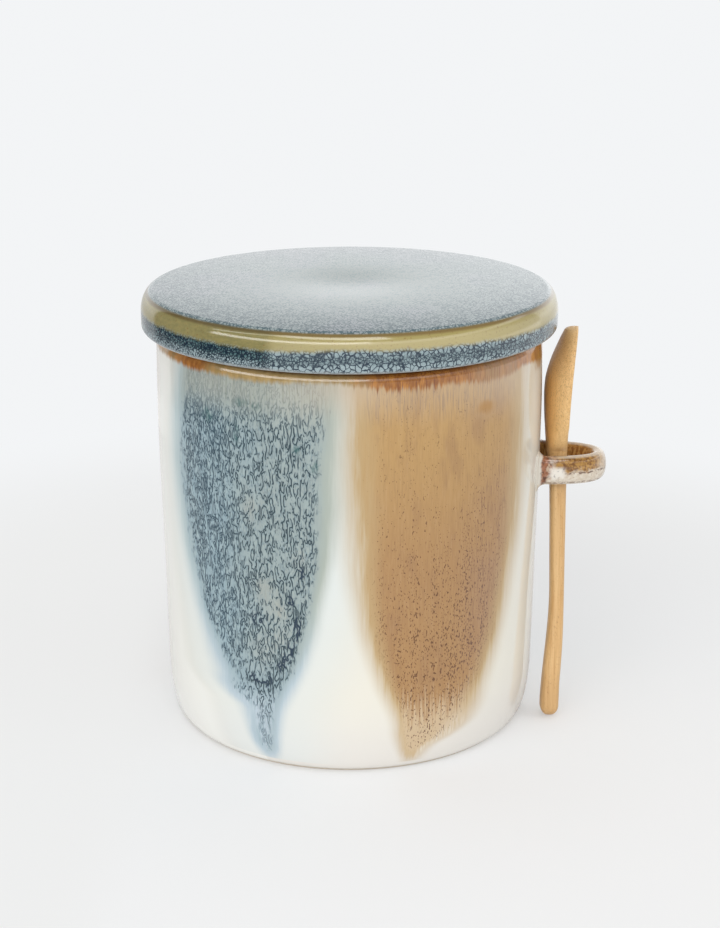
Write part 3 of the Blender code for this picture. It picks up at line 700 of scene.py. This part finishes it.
    crowd = runs(0.5, 170, 2, 0.55)
    pooled = timesPlus(thick, 0.8, times(teal, 0.3))
    weight = less(calc("ADD", pooled, crowd), times(thin, 0.25))
    heavier = timesPlus(weight, 0.55, 0.72)
    coarseWay = calc("DIVIDE", lineWay(0.34, 1020, 0.001, 0.00018), heavier)
    fineWay = calc("DIVIDE", lineWay(0.3, 1250, 0.0006, 0.00013), heavier)
    gaps = runs(0.5, 700, 2, 0.6)
    leftward = ramp(timesPlus(drift, 0.45, blueAcross), 0.45, 0.85, 1, 0.25)
    kept = ramp(timesPlus(weight, 0.24, gaps), 0.5, 0.58)
    coarseLine = times(ramp(coarseWay, 1.25, 0.75), kept)
    fineLine = times(ramp(fineWay, 1.3, 0.75), leftward, ramp(kept, 0, 1, 0.26, 0.86))
    line = calc("MAXIMUM", coarseLine, fineLine)
    smudge = calc("MAXIMUM", times(ramp(coarseWay, 4.4, 1), ramp(kept, 0, 1, 0.35, 1)),
                  times(ramp(fineWay, 2.5, 1), leftward, 0.55))
    topHair = ramp(height, 99, 111, 1, 0.25)
    within = times(ramp(timesPlus(less(gaps, 0.5), 0.7, blueShare), 0.74, 1), topHair, ramp(height, 11, 25, 0.5, 1))
    ink = mix(leftward, (0.008, 0.024, 0.03), (0.01, 0.038, 0.06))
    paint(times(smudge, within, 0.5), (0.13, 0.22, 0.275))
    line = times(line, within)
    paint(times(line, 0.93), ink)
    # thick fronts: heavy curls with light inside, and teal clouds higher up
    pool = ramp(lineWay(0.55, 620, 0.0011, 0.0003), 1.2, 0.75)
    pool = times(pool, ramp(thick, 0.4, 0.75), ramp(blueShare, 0.5, 0.9))
    paint(times(pool, 0.94), (0.01, 0.028, 0.054))
    cloudy = times(ramp(teal, 0.3, 1), ramp(runs(0.3, 900, 3, 0.6), 0.4, 0.6))
    paint(times(cloudy, 0.7), (0.04, 0.12, 0.118))

    # hair-fine dark runs just under the band
    hair = runs(0.05, 2900, 2, 0.6)
    hanging = ramp(timesPlus(hair, 17, height), 110, 120)
    hanging = times(hanging, ramp(hair, 0.48, 0.62))
    poured = calc("MAXIMUM", ramp(tanCover, 0.3, 0.9), times(ramp(blueCover, 0.2, 0.8), 0.45))
    paint(times(hanging, poured, 0.62), mix(ramp(blueCover, 0.2, 0.8), (0.2, 0.125, 0.085), (0.11, 0.14, 0.115)))

    # band under the lip: gold to burnt orange, mauve in places, with red-brown streaks hanging from it
    hang = runs(0.05, 900, 3, 0.65)
    edge = timesPlus(less(hang, 0.5), timesPlus(streaked, 5, 2), aboveBand)
    pale = times(ramp(timesPlus(hang, 6, aboveBand), -9, 3), beige)
    paint(times(pale, 0.75), (0.56, 0.44, 0.315))
    band = ramp(edge, -1, 0.7)
    grain = runs(0.4, 500, 3, 0.6)
    gold = mix(ramp(grain, 0.35, 0.65), (0.34, 0.228, 0.08), (0.45, 0.315, 0.13))
    burnt = mix(ramp(grain, 0.35, 0.65), (0.27, 0.088, 0.009), (0.47, 0.19, 0.03))
    bandColor = mix(ramp(timesPlus(less(grain, 0.5), 0.6, orange), 0.2, 0.8), gold, burnt)
    bandColor = mix(times(mauve, ramp(hang, 0.4, 0.6, 0.45, 0.85)), bandColor, (0.375, 0.19, 0.108))
    paint(times(band, ramp(mauve, 0.3, 1, 0.95, 0.82)), bandColor)
    drips = times(ramp(timesPlus(streaked, 0.08, hair), 0.585, 0.7), ramp(edge, -2, 0.4))
    paint(times(drips, streaked, 0.75), (0.16, 0.045, 0.018))
    # the neck just under the lid darkens: partly the glaze's burnt colour, partly a painted shade from the lid's
    # overhang
    paint(ramp(height, 115.97, 116.17, 0, 0.75), (0.115, 0.05, 0.014))
    mark = ramp(timesPlus(less(grain, 0.5), 0.7, amber), 0.3, 1)
    paint(times(mark, 0.8), (0.385, 0.19, 0.04))

    # bare clay on the foot
    grog = mix(noise(place, 2200, 2), (0.5, 0.43, 0.34), (0.6, 0.53, 0.43))
    paint(bare, grog)

    gloss = timesPlus(bare, 0.6, timesPlus(line, 0.08, 0.08))
    wave = runs(0.45, 70, 2)
    relief = timesPlus(calc("MAXIMUM", line, pool), -0.1, times(wave, ramp(height, 108, 113, 1, 0.15)))
    return finish.surface(gloss, relief, 0.3, 0.0005)


buildJar()
print("jar glazed")


# lid

lid = inMetres(
    seat=117.5, radius=59.9, edgeHeight=11, shoulderWidth=3.6, shoulderHeight=6.2, lowerRounding=1.2,
    crown=1, dishRadius=27, dishDepth=1, plate=6.2, spigotRadius=48, spigotWall=4.4, spigotDepth=9,
    spigotRounding=1.2, spigotFillet=3, grooveDepth=1.1, grooveDrop=2, grooveHeight=5.2,
    shoulderMargin=0.1, plateMargin=0.5, glazeIn=0.6, glazeUp=0.8, edgeIn=2,
)
lid.update(
    columns=420, noField=-20, pastEdge=12, crownPower=4, dishFall=3, deepZone=(-0.4, 0.5, 3.8, 2),
    lightZone=(1, 2.4, 4.7, 3.2), lightShare=0.75,
)

# round the lid's edge: (degrees, height of the gold's lower edge in mm, how olive, how dark below the gold)
lidEdge = (
    (-180, 123.2, 0.6, 0.6), (-120, 123.4, 0.4, 0.4), (-78, 123.2, 0.8, 0.8), (-40, 123.3, 1, 1),
    (-22, 122.9, 1, 1), (-19, 123, 0.45, 0.4), (0, 124, 0.2, 0.3), (19, 123.7, 0.15, 0.35), (35, 123.4, 0.1, 0.3),
    (57, 122.6, 0.2, 0.38), (80, 122.8, 0.4, 0.45), (130, 123.6, 0.5, 0.6), (180, 123.2, 0.6, 0.6),
)


def lidTop(radius):
    # the shoulder's level plus a crown that falls as the fourth power, less a dish shaped like a bell curve
    edge = lid.radius - lid.shoulderWidth
    rise = lid.crown * (1 - (radius / edge) ** lid.crownPower)
    dish = lid.dishDepth * np.exp(-lid.dishFall * (radius / lid.dishRadius) ** 2)
    return lid.seat + lid.edgeHeight + rise - dish


def lidProfile():
    # from the middle of the top, over the shoulder, under the edge, round the spigot and into its hollow;
    # each run ends with its number of points
    edge = lid.radius - lid.shoulderWidth
    radii = np.linspace(pole, edge, 64)[:-1]
    shoulderZ = lid.seat + lid.edgeHeight - lid.shoulderHeight
    rounding, turn, fillet = lid.lowerRounding, lid.spigotRounding, lid.spigotFillet
    spigot, end, ceiling = lid.spigotRadius, lid.seat - lid.spigotDepth, lid.seat + lid.edgeHeight - lid.plate
    inner, groove = spigot - lid.spigotWall, spigot - lid.grooveDepth
    grooveTop = lid.seat - lid.grooveDrop
    grooveEnd = grooveTop - lid.grooveHeight
    return np.vstack([
        np.stack([radii, lidTop(radii)], axis=-1),
        arcPoints(edge, shoulderZ, lid.shoulderWidth, lid.shoulderHeight, 90, 0, 28),
        spread((lid.radius, shoulderZ), (lid.radius, lid.seat + rounding), 12),
        arcPoints(lid.radius - rounding, lid.seat + rounding, rounding, rounding, 0, -90, 9)[1:],
        spread((lid.radius - rounding, lid.seat), (spigot, lid.seat), 8),
        spread((spigot, lid.seat), (spigot, grooveTop), 2),
        spread((spigot, grooveTop), (groove, grooveTop), 1),
        spread((groove, grooveTop), (groove, grooveEnd), 3),
        spread((groove, grooveEnd), (spigot, grooveEnd), 1),
        arcPoints(spigot - turn, end + turn, turn, turn, 0, -90, 6),
        arcPoints(inner + turn, end + turn, turn, turn, -90, -180, 6),
        arcPoints(inner - fillet, ceiling - fillet, fillet, fillet, 0, 90, 8),
        spread((inner - fillet, ceiling), (pole, ceiling), 14),
    ])


def buildLid():
    profile = lidProfile()
    points, turn = turnedSurface(profile, lid.columns)
    height = points[..., 2]
    radius = np.broadcast_to(profile[:, :1], height.shape)
    # how far down the edge a point lies, in millimetres under the shoulder's top, on the outside only
    drop = (lid.seat + lid.edgeHeight - height) / mm
    outer = radius > lid.radius - lid.shoulderWidth - lid.shoulderMargin
    fromTop = height > lid.seat + lid.edgeHeight - lid.plate + lid.plateMargin
    under = (~fromTop & ~outer) | ((radius < lid.radius - lid.glazeIn) & (height < lid.seat + lid.glazeUp))
    table = np.array(lidEdge, float).T
    goldEnd, olive, dark = (np.interp(np.degrees(turn), table[0], column) for column in table[1:])
    below = goldEnd - height / mm
    # the navy zone: deep and high under the gold where it is dark, lower and lighter elsewhere
    deep, light = (smoothStep(below, *zone[:2]) * smoothStep(below, *zone[2:])
                   for zone in (lid.deepZone, lid.lightZone))
    onEdge = (outer & fromTop) | (radius > lid.radius - lid.edgeIn)
    piece = gridMesh("lidSkin", points, lidGlaze(), attributes={
        "edgeDrop": np.where(under, lid.pastEdge, np.where(onEdge, drop, lid.noField)),
        "belowGold": np.where(onEdge & ~under, below, lid.noField),
        "navy": deep * dark + light * lid.lightShare * (1 - dark),
        "dark": dark,
        "olive": olive,
        "under": under,
    })
    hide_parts("lid")
    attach(piece, "lid")


def lidGlaze():
    finish = Finish("crackleGlaze")
    place = finish.place
    calc, times, timesPlus, less, ramp, mix, paint, noise, runs, near = finish.brushes()
    drop, belowGold, navy, dark, olive, under = finish.attributes("edgeDrop belowGold navy dark olive under")
    fromMiddle = finish.vector("LENGTH", finish.stretched((1 / mm, 1 / mm, 0)), output="Value")
    blotch = noise(place, 420, 2)

    # top: fine pale islands in dark seams that open towards the rim, with the odd lilac or green cloud
    bent = finish.warped(place, 900, 0.0008)
    seam = finish.cells(bent, 980)
    fine = finish.cells(finish.warped(place, 2000, 0.0004), 2000)
    outwards = ramp(fromMiddle, 16, 57)
    width = times(ramp(blotch, 0.3, 0.7, 0.08, 0.26), timesPlus(outwards, 0.7, 0.6))
    island = ramp(calc("DIVIDE", seam, width), 0.2, 1)
    island = times(island, ramp(fine, 0.02, 0.15, 0.6, 1))
    lilac = ramp(noise(place, 34, 2), 0.46, 0.66, 0, 0.6)
    sea = mix(outwards, (0.18, 0.25, 0.255), (0.06, 0.105, 0.122))
    land = mix(outwards, (0.33, 0.368, 0.352), (0.312, 0.364, 0.36))
    land = mix(lilac, land, (0.355, 0.365, 0.405))
    top = mix(island, sea, land)

    # edge: olive gold with a brown line along its top and a painted reflection across its middle, fading into the
    # cells below
    grain = runs(2, 620, 3, 0.65)
    gold = mix(olive, (0.372, 0.306, 0.108), (0.205, 0.186, 0.077))
    gold = mix(ramp(grain, 0.3, 0.7, 0, 0.4), gold, (0.36, 0.29, 0.11))
    gold = mix(ramp(noise(place, 1900, 1), 0.62, 0.72, 0, 0.5), gold, (0.2, 0.1, 0.03))
    brown = near(drop, 0.85, 0.1, 0.85, 0.8)
    gold = mix(brown, gold, mix(olive, (0.175, 0.105, 0.035), (0.085, 0.055, 0.018)))
    # painted reflection: a paler band a few millimetres down the gold, weaker where it is olive, stands in for light
    # the edge mirrors
    paintedReflection = times(near(drop, 3.7, 0.8, 2), less(1, olive))
    gold = mix(paintedReflection, gold, (0.1, 0.096, 0.088), "ADD")

    # below the gold: tiny teal cells in the navy zone, and larger pale ones further down
    rough = timesPlus(less(runs(0.5, 330, 3, 0.6), 0.5), 1.1, navy, clamp=True)
    large = finish.cells(finish.warped(place, 700, 0.0011), 770)
    small = finish.cells(finish.warped(place, 1200, 0.0006), 1350)
    lowWidth = times(ramp(blotch, 0.3, 0.7, 0.7, 1.3), timesPlus(dark, 0.04, timesPlus(rough, 0.13, 0.118)))
    largeIsland = ramp(calc("DIVIDE", large, lowWidth), 0.35, 1)
    smallIsland = ramp(calc("DIVIDE", small, lowWidth), 0.3, 1.1)
    tiny = ramp(timesPlus(rough, 0.6, times(dark, 0.6)), 0.35, 0.75)
    island = timesPlus(tiny, less(smallIsland, largeIsland), largeIsland)
    island = times(island, ramp(fine, 0.02, 0.14, 0.72, 1))
    isle = mix(times(rough, timesPlus(dark, 0.75, 0.25)), (0.325, 0.412, 0.435), (0.072, 0.148, 0.152))
    deepSeam = mix(dark, (0.006, 0.024, 0.046), (0.002, 0.016, 0.03))
    low = mix(island, deepSeam, isle)
    foot = ramp(timesPlus(blotch, 1.2, drop), 10.4, 11.4)
    low = mix(times(foot, 0.75), low, (0.36, 0.385, 0.385))

    finish.color = mix(ramp(drop, 0.3, 0.8), top, gold)
    wave = timesPlus(runs(0.3, 300, 3, 0.6), 1.6, -0.8)
    paint(ramp(calc("ADD", belowGold, wave), -0.9, 0.7), low)
    # the underside at the edge: dark brown, partly the glaze breaking brown over the edge, partly a painted shade
    # beneath it
    rim = mix(noise(place, 500, 2), (0.115, 0.065, 0.035), (0.2, 0.13, 0.08))
    paint(ramp(drop, 11.02, 11.2), rim)
    plain = mix(noise(place, 60, 2), (0.6, 0.54, 0.44), (0.68, 0.62, 0.52))
    paint(times(under, ramp(fromMiddle, 57, 50)), plain)
    gloss = calc("ADD", ramp(grain, 0.3, 0.7, 0.09, 0.13), ramp(drop, 0.6, -0.2, 0, 0.06))
    crackled = times(calc("MAXIMUM", ramp(drop, 0.5, 0), ramp(belowGold, 0, 1)), less(1, under))
    relief = times(mix(ramp(drop, 0.2, 0.8), seam, island), crackled)
    return finish.surface(gloss, relief, 0.22, 0.00014, IOR=1.55)


buildLid()
print("lid glazed")


# seal under the lid

seal = inMetres(inner=47.2, band=48, outer=50.1, top=115.2, height=4.6, fin=0.9, lift=0.7)
seal.update(fins=2, columns=256)


def buildSeal():
    # a band with fins: the profile steps out and back once for each fin and closes on itself
    outline = [(seal.inner, seal.top), (seal.band, seal.top)]
    pitch = seal.height / seal.fins
    for index in range(seal.fins):
        root = seal.top - pitch * (index + 0.5) + seal.fin / 2
        outline += [(seal.band, root), (seal.outer, root + seal.lift)]
        outline += [(seal.outer, root + seal.lift - seal.fin), (seal.band, root - seal.fin)]
    outline += [(seal.band, seal.top - seal.height), (seal.inner, seal.top - seal.height)]
    points, _ = turnedSurface(np.array(outline), seal.columns)
    piece = gridMesh("sealRing", points, siliconeFinish(), closedEnds=0)
    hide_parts("lid_seal")
    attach(piece, "lid")
    piece.data.shade_flat()


def siliconeFinish():
    finish = Finish("silicone")
    dust = finish.noise(finish.place, 900, 3)
    finish.color = finish.mix(dust, (0.6, 0.6, 0.57), (0.7, 0.7, 0.67))
    return finish.surface(finish.ramp(dust, 0.3, 0.7, 0.38, 0.52), dust, 0.15, 0.0001)


buildSeal()
print("seal fitted")


# loop for the spoon

loop = inMetres(reach=20.4, thickness=4.8, height=8.4, halfWidth=7.9, z=76.1, fillet=2.4, sunk=3)
loop.update(azimuth=math.radians(-4.1), squareness=2.3, strapSquareness=2.4, filletShare=0.85, stations=220,
            sunkStations=12, around=64)


def buildLoop():
    # the middle line is a rounded rectangle's outer half; the strap's section is a rounded oblong square to it
    turn = np.linspace(-np.pi / 2, np.pi / 2, loop.stations)
    along = (loop.reach - loop.thickness / 2) * np.abs(np.cos(turn)) ** (2 / loop.squareness)
    across = loop.halfWidth * signedPower(np.sin(turn), 2 / loop.squareness)
    middle = np.stack([along, across], axis=-1)
    run = np.linspace(-loop.sunk, 0, loop.sunkStations)[:-1, None] * np.array([1, 0])
    middle = np.vstack([middle[0] + run, middle, (middle[-1] + run)[::-1]])
    # even steps along the line
    step = np.r_[0, np.cumsum(np.hypot(*np.diff(middle, axis=0).T))]
    even = np.linspace(0, step[-1], loop.stations)
    middle = np.stack([np.interp(even, step, middle[:, axis]) for axis in (0, 1)], axis=-1)
    heading = np.gradient(middle, axis=0)
    heading /= np.linalg.norm(heading, axis=1, keepdims=True)
    side = np.stack([heading[:, 1], -heading[:, 0]], axis=-1)
    angle = np.linspace(0, 2 * np.pi, loop.around, endpoint=False)
    out = signedPower(np.cos(angle), 2 / loop.strapSquareness)
    up = signedPower(np.sin(angle), 2 / loop.strapSquareness)

    def placed(grow):
        # the section grown by the fillet's share, turned to the loop's bearing and set on the wall
        half = loop.thickness / 2 + grow
        tall = loop.height / 2 + grow
        flat = middle[:, None, :] + side[:, None, :] * (out * half)[..., None]
        bearing = loop.azimuth
        away, aside = jar.radius + flat[..., 0], flat[..., 1]
        x = away * math.cos(bearing) - aside * math.sin(bearing)
        y = away * math.sin(bearing) + aside * math.cos(bearing)
        return np.stack([x, y, loop.z + up * tall + 0 * x], axis=-1)

    # the fillet: a quarter circle of growth as a point nears the wall
    plain = placed(np.zeros((len(middle), loop.around)))
    fromWall = np.hypot(plain[..., 0], plain[..., 1]) - wallRadius(plain[..., 2])
    nearness = np.clip(1 - fromWall / loop.fillet, 0, 1)
    grow = loop.fillet * (1 - np.sqrt(1 - nearness**2)) * loop.filletShare
    points = placed(grow)
    fromWall = np.hypot(points[..., 0], points[..., 1]) - wallRadius(points[..., 2])
    # the way along the strap from the nearer root, in millimetres past the wall
    path = np.minimum(even, even[-1] - even) - loop.sunk
    piece = gridMesh("loopStrap", points, loopGlaze(), attributes={
        "fromWall": fromWall / mm,
        "rise": up,
        "outward": out,
        "path": path[:, None] / mm,
    })
    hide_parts("spoon_loop")
    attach(piece, "jar")


def loopGlaze():
    finish = Finish("amberGlaze")
    place = finish.place
    calc, times, timesPlus, less, ramp, mix, paint, noise, runs, near = finish.brushes()
    fromWall, rise, outward, path = finish.attributes("fromWall rise outward path")
    blotch = less(noise(place, 330, 3, 0.6), 0.5)
    mottle = noise(place, 900, 3, 0.65)
    speck = noise(place, 1900, 1)

    # cream below, faintly pink, with a few brown specks
    finish.color = mix(ramp(mottle, 0.35, 0.65), (0.59, 0.505, 0.4), (0.69, 0.625, 0.525))
    paint(ramp(speck, 0.64, 0.72, 0, 0.55), (0.3, 0.17, 0.11))
    # amber along the upper half, clear of the root, with dark spots
    amber = mix(ramp(mottle, 0.36, 0.62), (0.15, 0.055, 0.008), (0.4, 0.208, 0.042))
    upper = ramp(timesPlus(blotch, 1.4, rise), -0.22, 0.22)
    upper = times(upper, ramp(timesPlus(blotch, 4, path), 3.8, 5.6))
    upper = times(upper, ramp(path, 15, 20, 1, 0.35))
    paint(times(upper, 0.97), amber)
    # red-brown mottling over the whole root
    red = mix(ramp(mottle, 0.34, 0.6), (0.075, 0.02, 0.007), (0.31, 0.108, 0.04))
    red = mix(ramp(noise(place, 520, 2), 0.52, 0.66, 0, 0.8), red, (0.58, 0.42, 0.29))
    root = ramp(timesPlus(blotch, 7, timesPlus(rise, -1.3, path)), 4.6, 2.4)
    paint(times(root, 0.96), red)
    # a white patch beside it with grey tints
    white = times(near(path, 5.6, 1.2, 2.8), ramp(timesPlus(blotch, 1.6, rise), -0.75, -0.35))
    white = times(white, ramp(rise, 0.5, 0.15))
    paint(times(white, 0.8), mix(ramp(mottle, 0.3, 0.46), (0.4, 0.37, 0.35), (0.8, 0.765, 0.7)))
    # a dashed dark line half way up, and a thin brown one at the lower edge
    dash = runs(2, 950, 2)
    bent = timesPlus(blotch, 0.3, rise)
    line = times(near(bent, -0.1, 0.02, 0.1), ramp(dash, 0.44, 0.52))
    line = times(line, ramp(path, 7, 8.5))
    hem = times(near(bent, -0.8, 0.03, 0.12), ramp(dash, 0.4, 0.56))
    line = calc("MAXIMUM", line, times(hem, 0.7))
    paint(times(line, 0.85), (0.115, 0.055, 0.035))
    # a painted highlight keeps the top edge pale; the inner face runs brown in upright streaks
    # painted highlight: a pale cream line along the strap's upper edge
    paintedRimHighlight = times(ramp(rise, 0.86, 0.98), ramp(path, 4, 7))
    paint(times(paintedRimHighlight, 0.55), (0.72, 0.65, 0.53))
    streaks = runs(0.08, 1500, 2, 0.6)
    inner = mix(ramp(streaks, 0.36, 0.62), (0.2, 0.08, 0.016), (0.43, 0.24, 0.075))
    within = times(ramp(outward, -0.25, -0.6), ramp(rise, 0.97, 0.8))
    paint(times(within, 0.92), inner)
    # the flared roots are cream again
    flare = times(ramp(timesPlus(blotch, 1.6, fromWall), 1.6, 0.8), ramp(outward, -0.7, -0.2))
    paint(flare, (0.66, 0.615, 0.53))
    return finish.surface(ramp(mottle, 0.3, 0.7, 0.09, 0.14), blotch, 0.3, 0.0003)


buildLoop()
print("loop luted")


# spoon

spoon = inMetres(
    length=116.73, handleLength=80.62, handleWidth=7.2, handleThickness=4.3, handleLean=0.2, bowlWidth=24.5,
    bowlDepth=7.1, bowlFlare=2.8, rim=1.6, backWall=2, tipCurl=1.2, tipRounding=3, noseRounding=0.9,
)
spoon.update(
    tip=(63.51 * mm, -16.15 * mm, 0.38 * mm), lean=math.radians(8.667), handleSquareness=3.2, bowlSquareness=2.1,
    waistShare=0.45, shoulderShare=0.2, tipFlat=0.12, noseDepth=0.62, noseWidth=0.45, hollowMiddle=0.5,
    hollowLength=0.46, hollowPower=0.62, tipStations=14, shaftStations=120, bowlStations=197, around=112,
)

# along the handle, tip to bowl: places, and shares of its thickness, width and curl
handleTable = {
    "place": (0, 0.06, 0.13, 0.2, 0.29, 0.42, 0.6, 0.8, 0.87, 0.94, 1),
    "thickness": (1.24, 1.27, 1.22, 1.19, 1.11, 0.98, 1.01, 1.08, 1.12, 1.23, 1.36),
    "width": (1.06, 1.08, 1.07, 1.05, 1.02, 0.98, 0.96, 0.96, 0.96, 1.04, 1.28),
    "curl": (1, 0.86, 0.72, 0.42, 0.12, 0, 0, 0, 0, 0, 0),
}

# along the bowl, shoulder to nose
bowlTable = {
    "place": (0, 0.04, 0.11, 0.23, 0.37, 0.5, 0.58, 0.67, 0.75, 0.84, 0.92, 0.97, 1),
    "depth": (0.825, 0.84, 0.87, 0.92, 0.965, 0.998, 0.993, 0.93, 0.845, 0.72, 0.61, 0.535, 0.475),
    "width": (0.376, 0.5, 0.65, 0.84, 0.96, 1, 0.99, 0.95, 0.88, 0.765, 0.59, 0.4, 0.2),
}


def shareAt(table, name, at):
    return easedTable(table["place"], table[name], at)


def quarterRound(share):
    # a quarter of an ellipse: the root of one less the square of what is left of the share
    return np.sqrt(np.clip(1 - (1 - np.clip(share, 0, 1)) ** 2, 0, 1))


def rimLine(length):
    # the handle's slight lean, then a square-law turn outwards along the bowl
    waist = spoon.handleLength * spoon.waistShare
    lean = spoon.handleLean * np.clip((length - waist) / (spoon.handleLength - waist), 0, 1)
    start = spoon.handleLength + (spoon.length - spoon.handleLength) * spoon.shoulderShare
    share = np.clip((length - start) / (spoon.length - start), 0, None)
    return lean + spoon.bowlFlare * share**2


def buildSpoon():
    handle, total, tipEnd = spoon.handleLength, spoon.length, spoon.tipRounding
    closeTip = tipEnd * (1 - np.cos(np.linspace(0, np.pi / 2, spoon.tipStations)))
    shaft = np.linspace(tipEnd, handle, spoon.shaftStations)[1:]
    # bowl stations crowd towards the nose, where the outline turns in
    bowl = handle + (total - handle) * np.sin(np.linspace(0, np.pi / 2, spoon.bowlStations))[1:]
    length = np.concatenate([closeTip, shaft, bowl])

    place = np.clip(length / handle, 0, 1)
    thickness = spoon.handleThickness * shareAt(handleTable, "thickness", place)
    handleHalf = spoon.handleWidth / 2 * shareAt(handleTable, "width", place)
    curl = spoon.tipCurl * shareAt(handleTable, "curl", place)
    along = np.clip((length - handle) / (total - handle), 0, 1)
    depth = spoon.bowlDepth * shareAt(bowlTable, "depth", along)
    bowlHalf = spoon.bowlWidth / 2 * shareAt(bowlTable, "width", along)
    inBowl = length > handle
    # the tip closes as a quarter of an ellipse, to a small flat end
    shrink = spoon.tipFlat + (1 - spoon.tipFlat) * quarterRound(length / tipEnd)
    front = rimLine(length) - np.where(inBowl, 0, curl)
    back = front - np.where(inBowl, depth, thickness)
    middle = (front + back) / 2
    half = np.where(inBowl, bowlHalf, handleHalf)
    # the nose is cut flat: its width closes, and its back rounds over, but the rim runs on to the end
    closing = quarterRound((total - length) / spoon.noseRounding)
    front = middle + (front - middle) * shrink
    back = middle + (back - middle) * shrink
    back = front - (front - back) * (spoon.noseDepth + (1 - spoon.noseDepth) * closing)
    half = half * shrink * (spoon.noseWidth + (1 - spoon.noseWidth) * closing)

    bowlShare = np.clip(along / spoon.shoulderShare, 0, 1)
    squareness = spoon.handleSquareness + (spoon.bowlSquareness - spoon.handleSquareness) * bowlShare
    widest = (front + back) / 2 * (1 - bowlShare) + (front - spoon.rim / 2) * bowlShare
    angle = np.linspace(0, 2 * np.pi, spoon.around, endpoint=False)[None, :]
    power = (2 / squareness)[:, None]
    y = half[:, None] * signedPower(np.cos(angle), power)
    out = signedPower(np.sin(angle), power)
    x = widest[:, None] + np.where(out > 0, (front - widest)[:, None], (widest - back)[:, None]) * out

    # the hollow: an egg's depth below the rim, falling off as one less the squares of its two shares
    deepest = handle + (total - handle) * spoon.hollowMiddle
    halfLength = (total - handle) * spoon.hollowLength - spoon.rim
    halfWidth = spoon.bowlWidth / 2 - spoon.rim
    share = (y / halfWidth) ** 2 + ((length[:, None] - deepest) / halfLength) ** 2
    dip = (spoon.bowlDepth - spoon.backWall) * np.clip(1 - share, 0, 1) ** spoon.hollowPower
    x = x - np.where(out > 0, dip, 0)

    z = np.repeat(length[:, None], spoon.around, axis=1)
    lean, tip = spoon.lean, spoon.tip
    points = np.stack([
        x + tip[0],
        y * math.cos(lean) + z * math.sin(lean) + tip[1],
        -y * math.sin(lean) + z * math.cos(lean) + tip[2],
    ], axis=-1)
    piece = gridMesh("bambooSpoon", points, bambooFinish(), attributes={
        "across": x / mm,
        "sideways": y / mm,
        "along": z / mm,
    })
    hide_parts("spoon")
    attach(piece, "spoon")


def bambooFinish():
    finish = Finish("bamboo")
    _, times, timesPlus, _, ramp, mix, paint, noise, *_ = finish.brushes()
    across, sideways, along = finish.attributes("across sideways along")
    wood = finish.add("CombineXYZ", {0: across, 1: sideways, 2: along}).outputs[0]
    # fibres run along the spoon: noise drawn out thirty to seventy times its width
    fibre = noise(finish.stretched((1, 1, 0.03), wood), 3.2, 3, 0.6)
    strand = noise(finish.stretched((1, 1, 0.015), wood), 1.1)
    finish.color = mix(ramp(strand, 0.35, 0.65), (0.56, 0.328, 0.13), (0.675, 0.435, 0.2))
    paint(ramp(fibre, 0.42, 0.62, 0, 0.5), (0.715, 0.485, 0.24))
    paint(ramp(fibre, 0.28, 0.42, 0.45, 0), (0.44, 0.215, 0.065))
    # painted light: the bowl is painted lighter, grain kept, to lift the shade it stands in beside the jar
    bowlPaintedLight = mix(ramp(fibre, 0.35, 0.65), (0.74, 0.455, 0.18), (0.84, 0.55, 0.24))
    paint(ramp(along, 66, 92, 0, 0.75), bowlPaintedLight)
    # the bowl's back is painted lighter and more orange on the side that turns to the jar, a painted light against
    # the shade there, and the tip is darker
    turned = times(ramp(along, 76, 86), ramp(across, -2.4, -6.4))
    paint(times(turned, 0.75), (0.84, 0.44, 0.125))
    paint(ramp(along, 18, 4, 0, 0.6), (0.52, 0.31, 0.13))
    # cut fibre ends: short dark dashes, slanted and closer on the bowl
    slanted = {0: timesPlus(along, 0.35, across), 1: sideways, 2: times(along, 0.3)}
    dash = noise(finish.add("CombineXYZ", slanted).outputs[0], 4.6, 1)
    pore = ramp(timesPlus(ramp(along, 82, 98), 0.095, dash), 0.64, 0.72)
    paint(times(pore, 0.5), (0.3, 0.135, 0.04))
    return finish.surface(ramp(fibre, 0.3, 0.7, 0.5, 0.38), timesPlus(pore, -0.5, fibre), 0.3, 0.00012)


buildSpoon()
print("spoon standing")
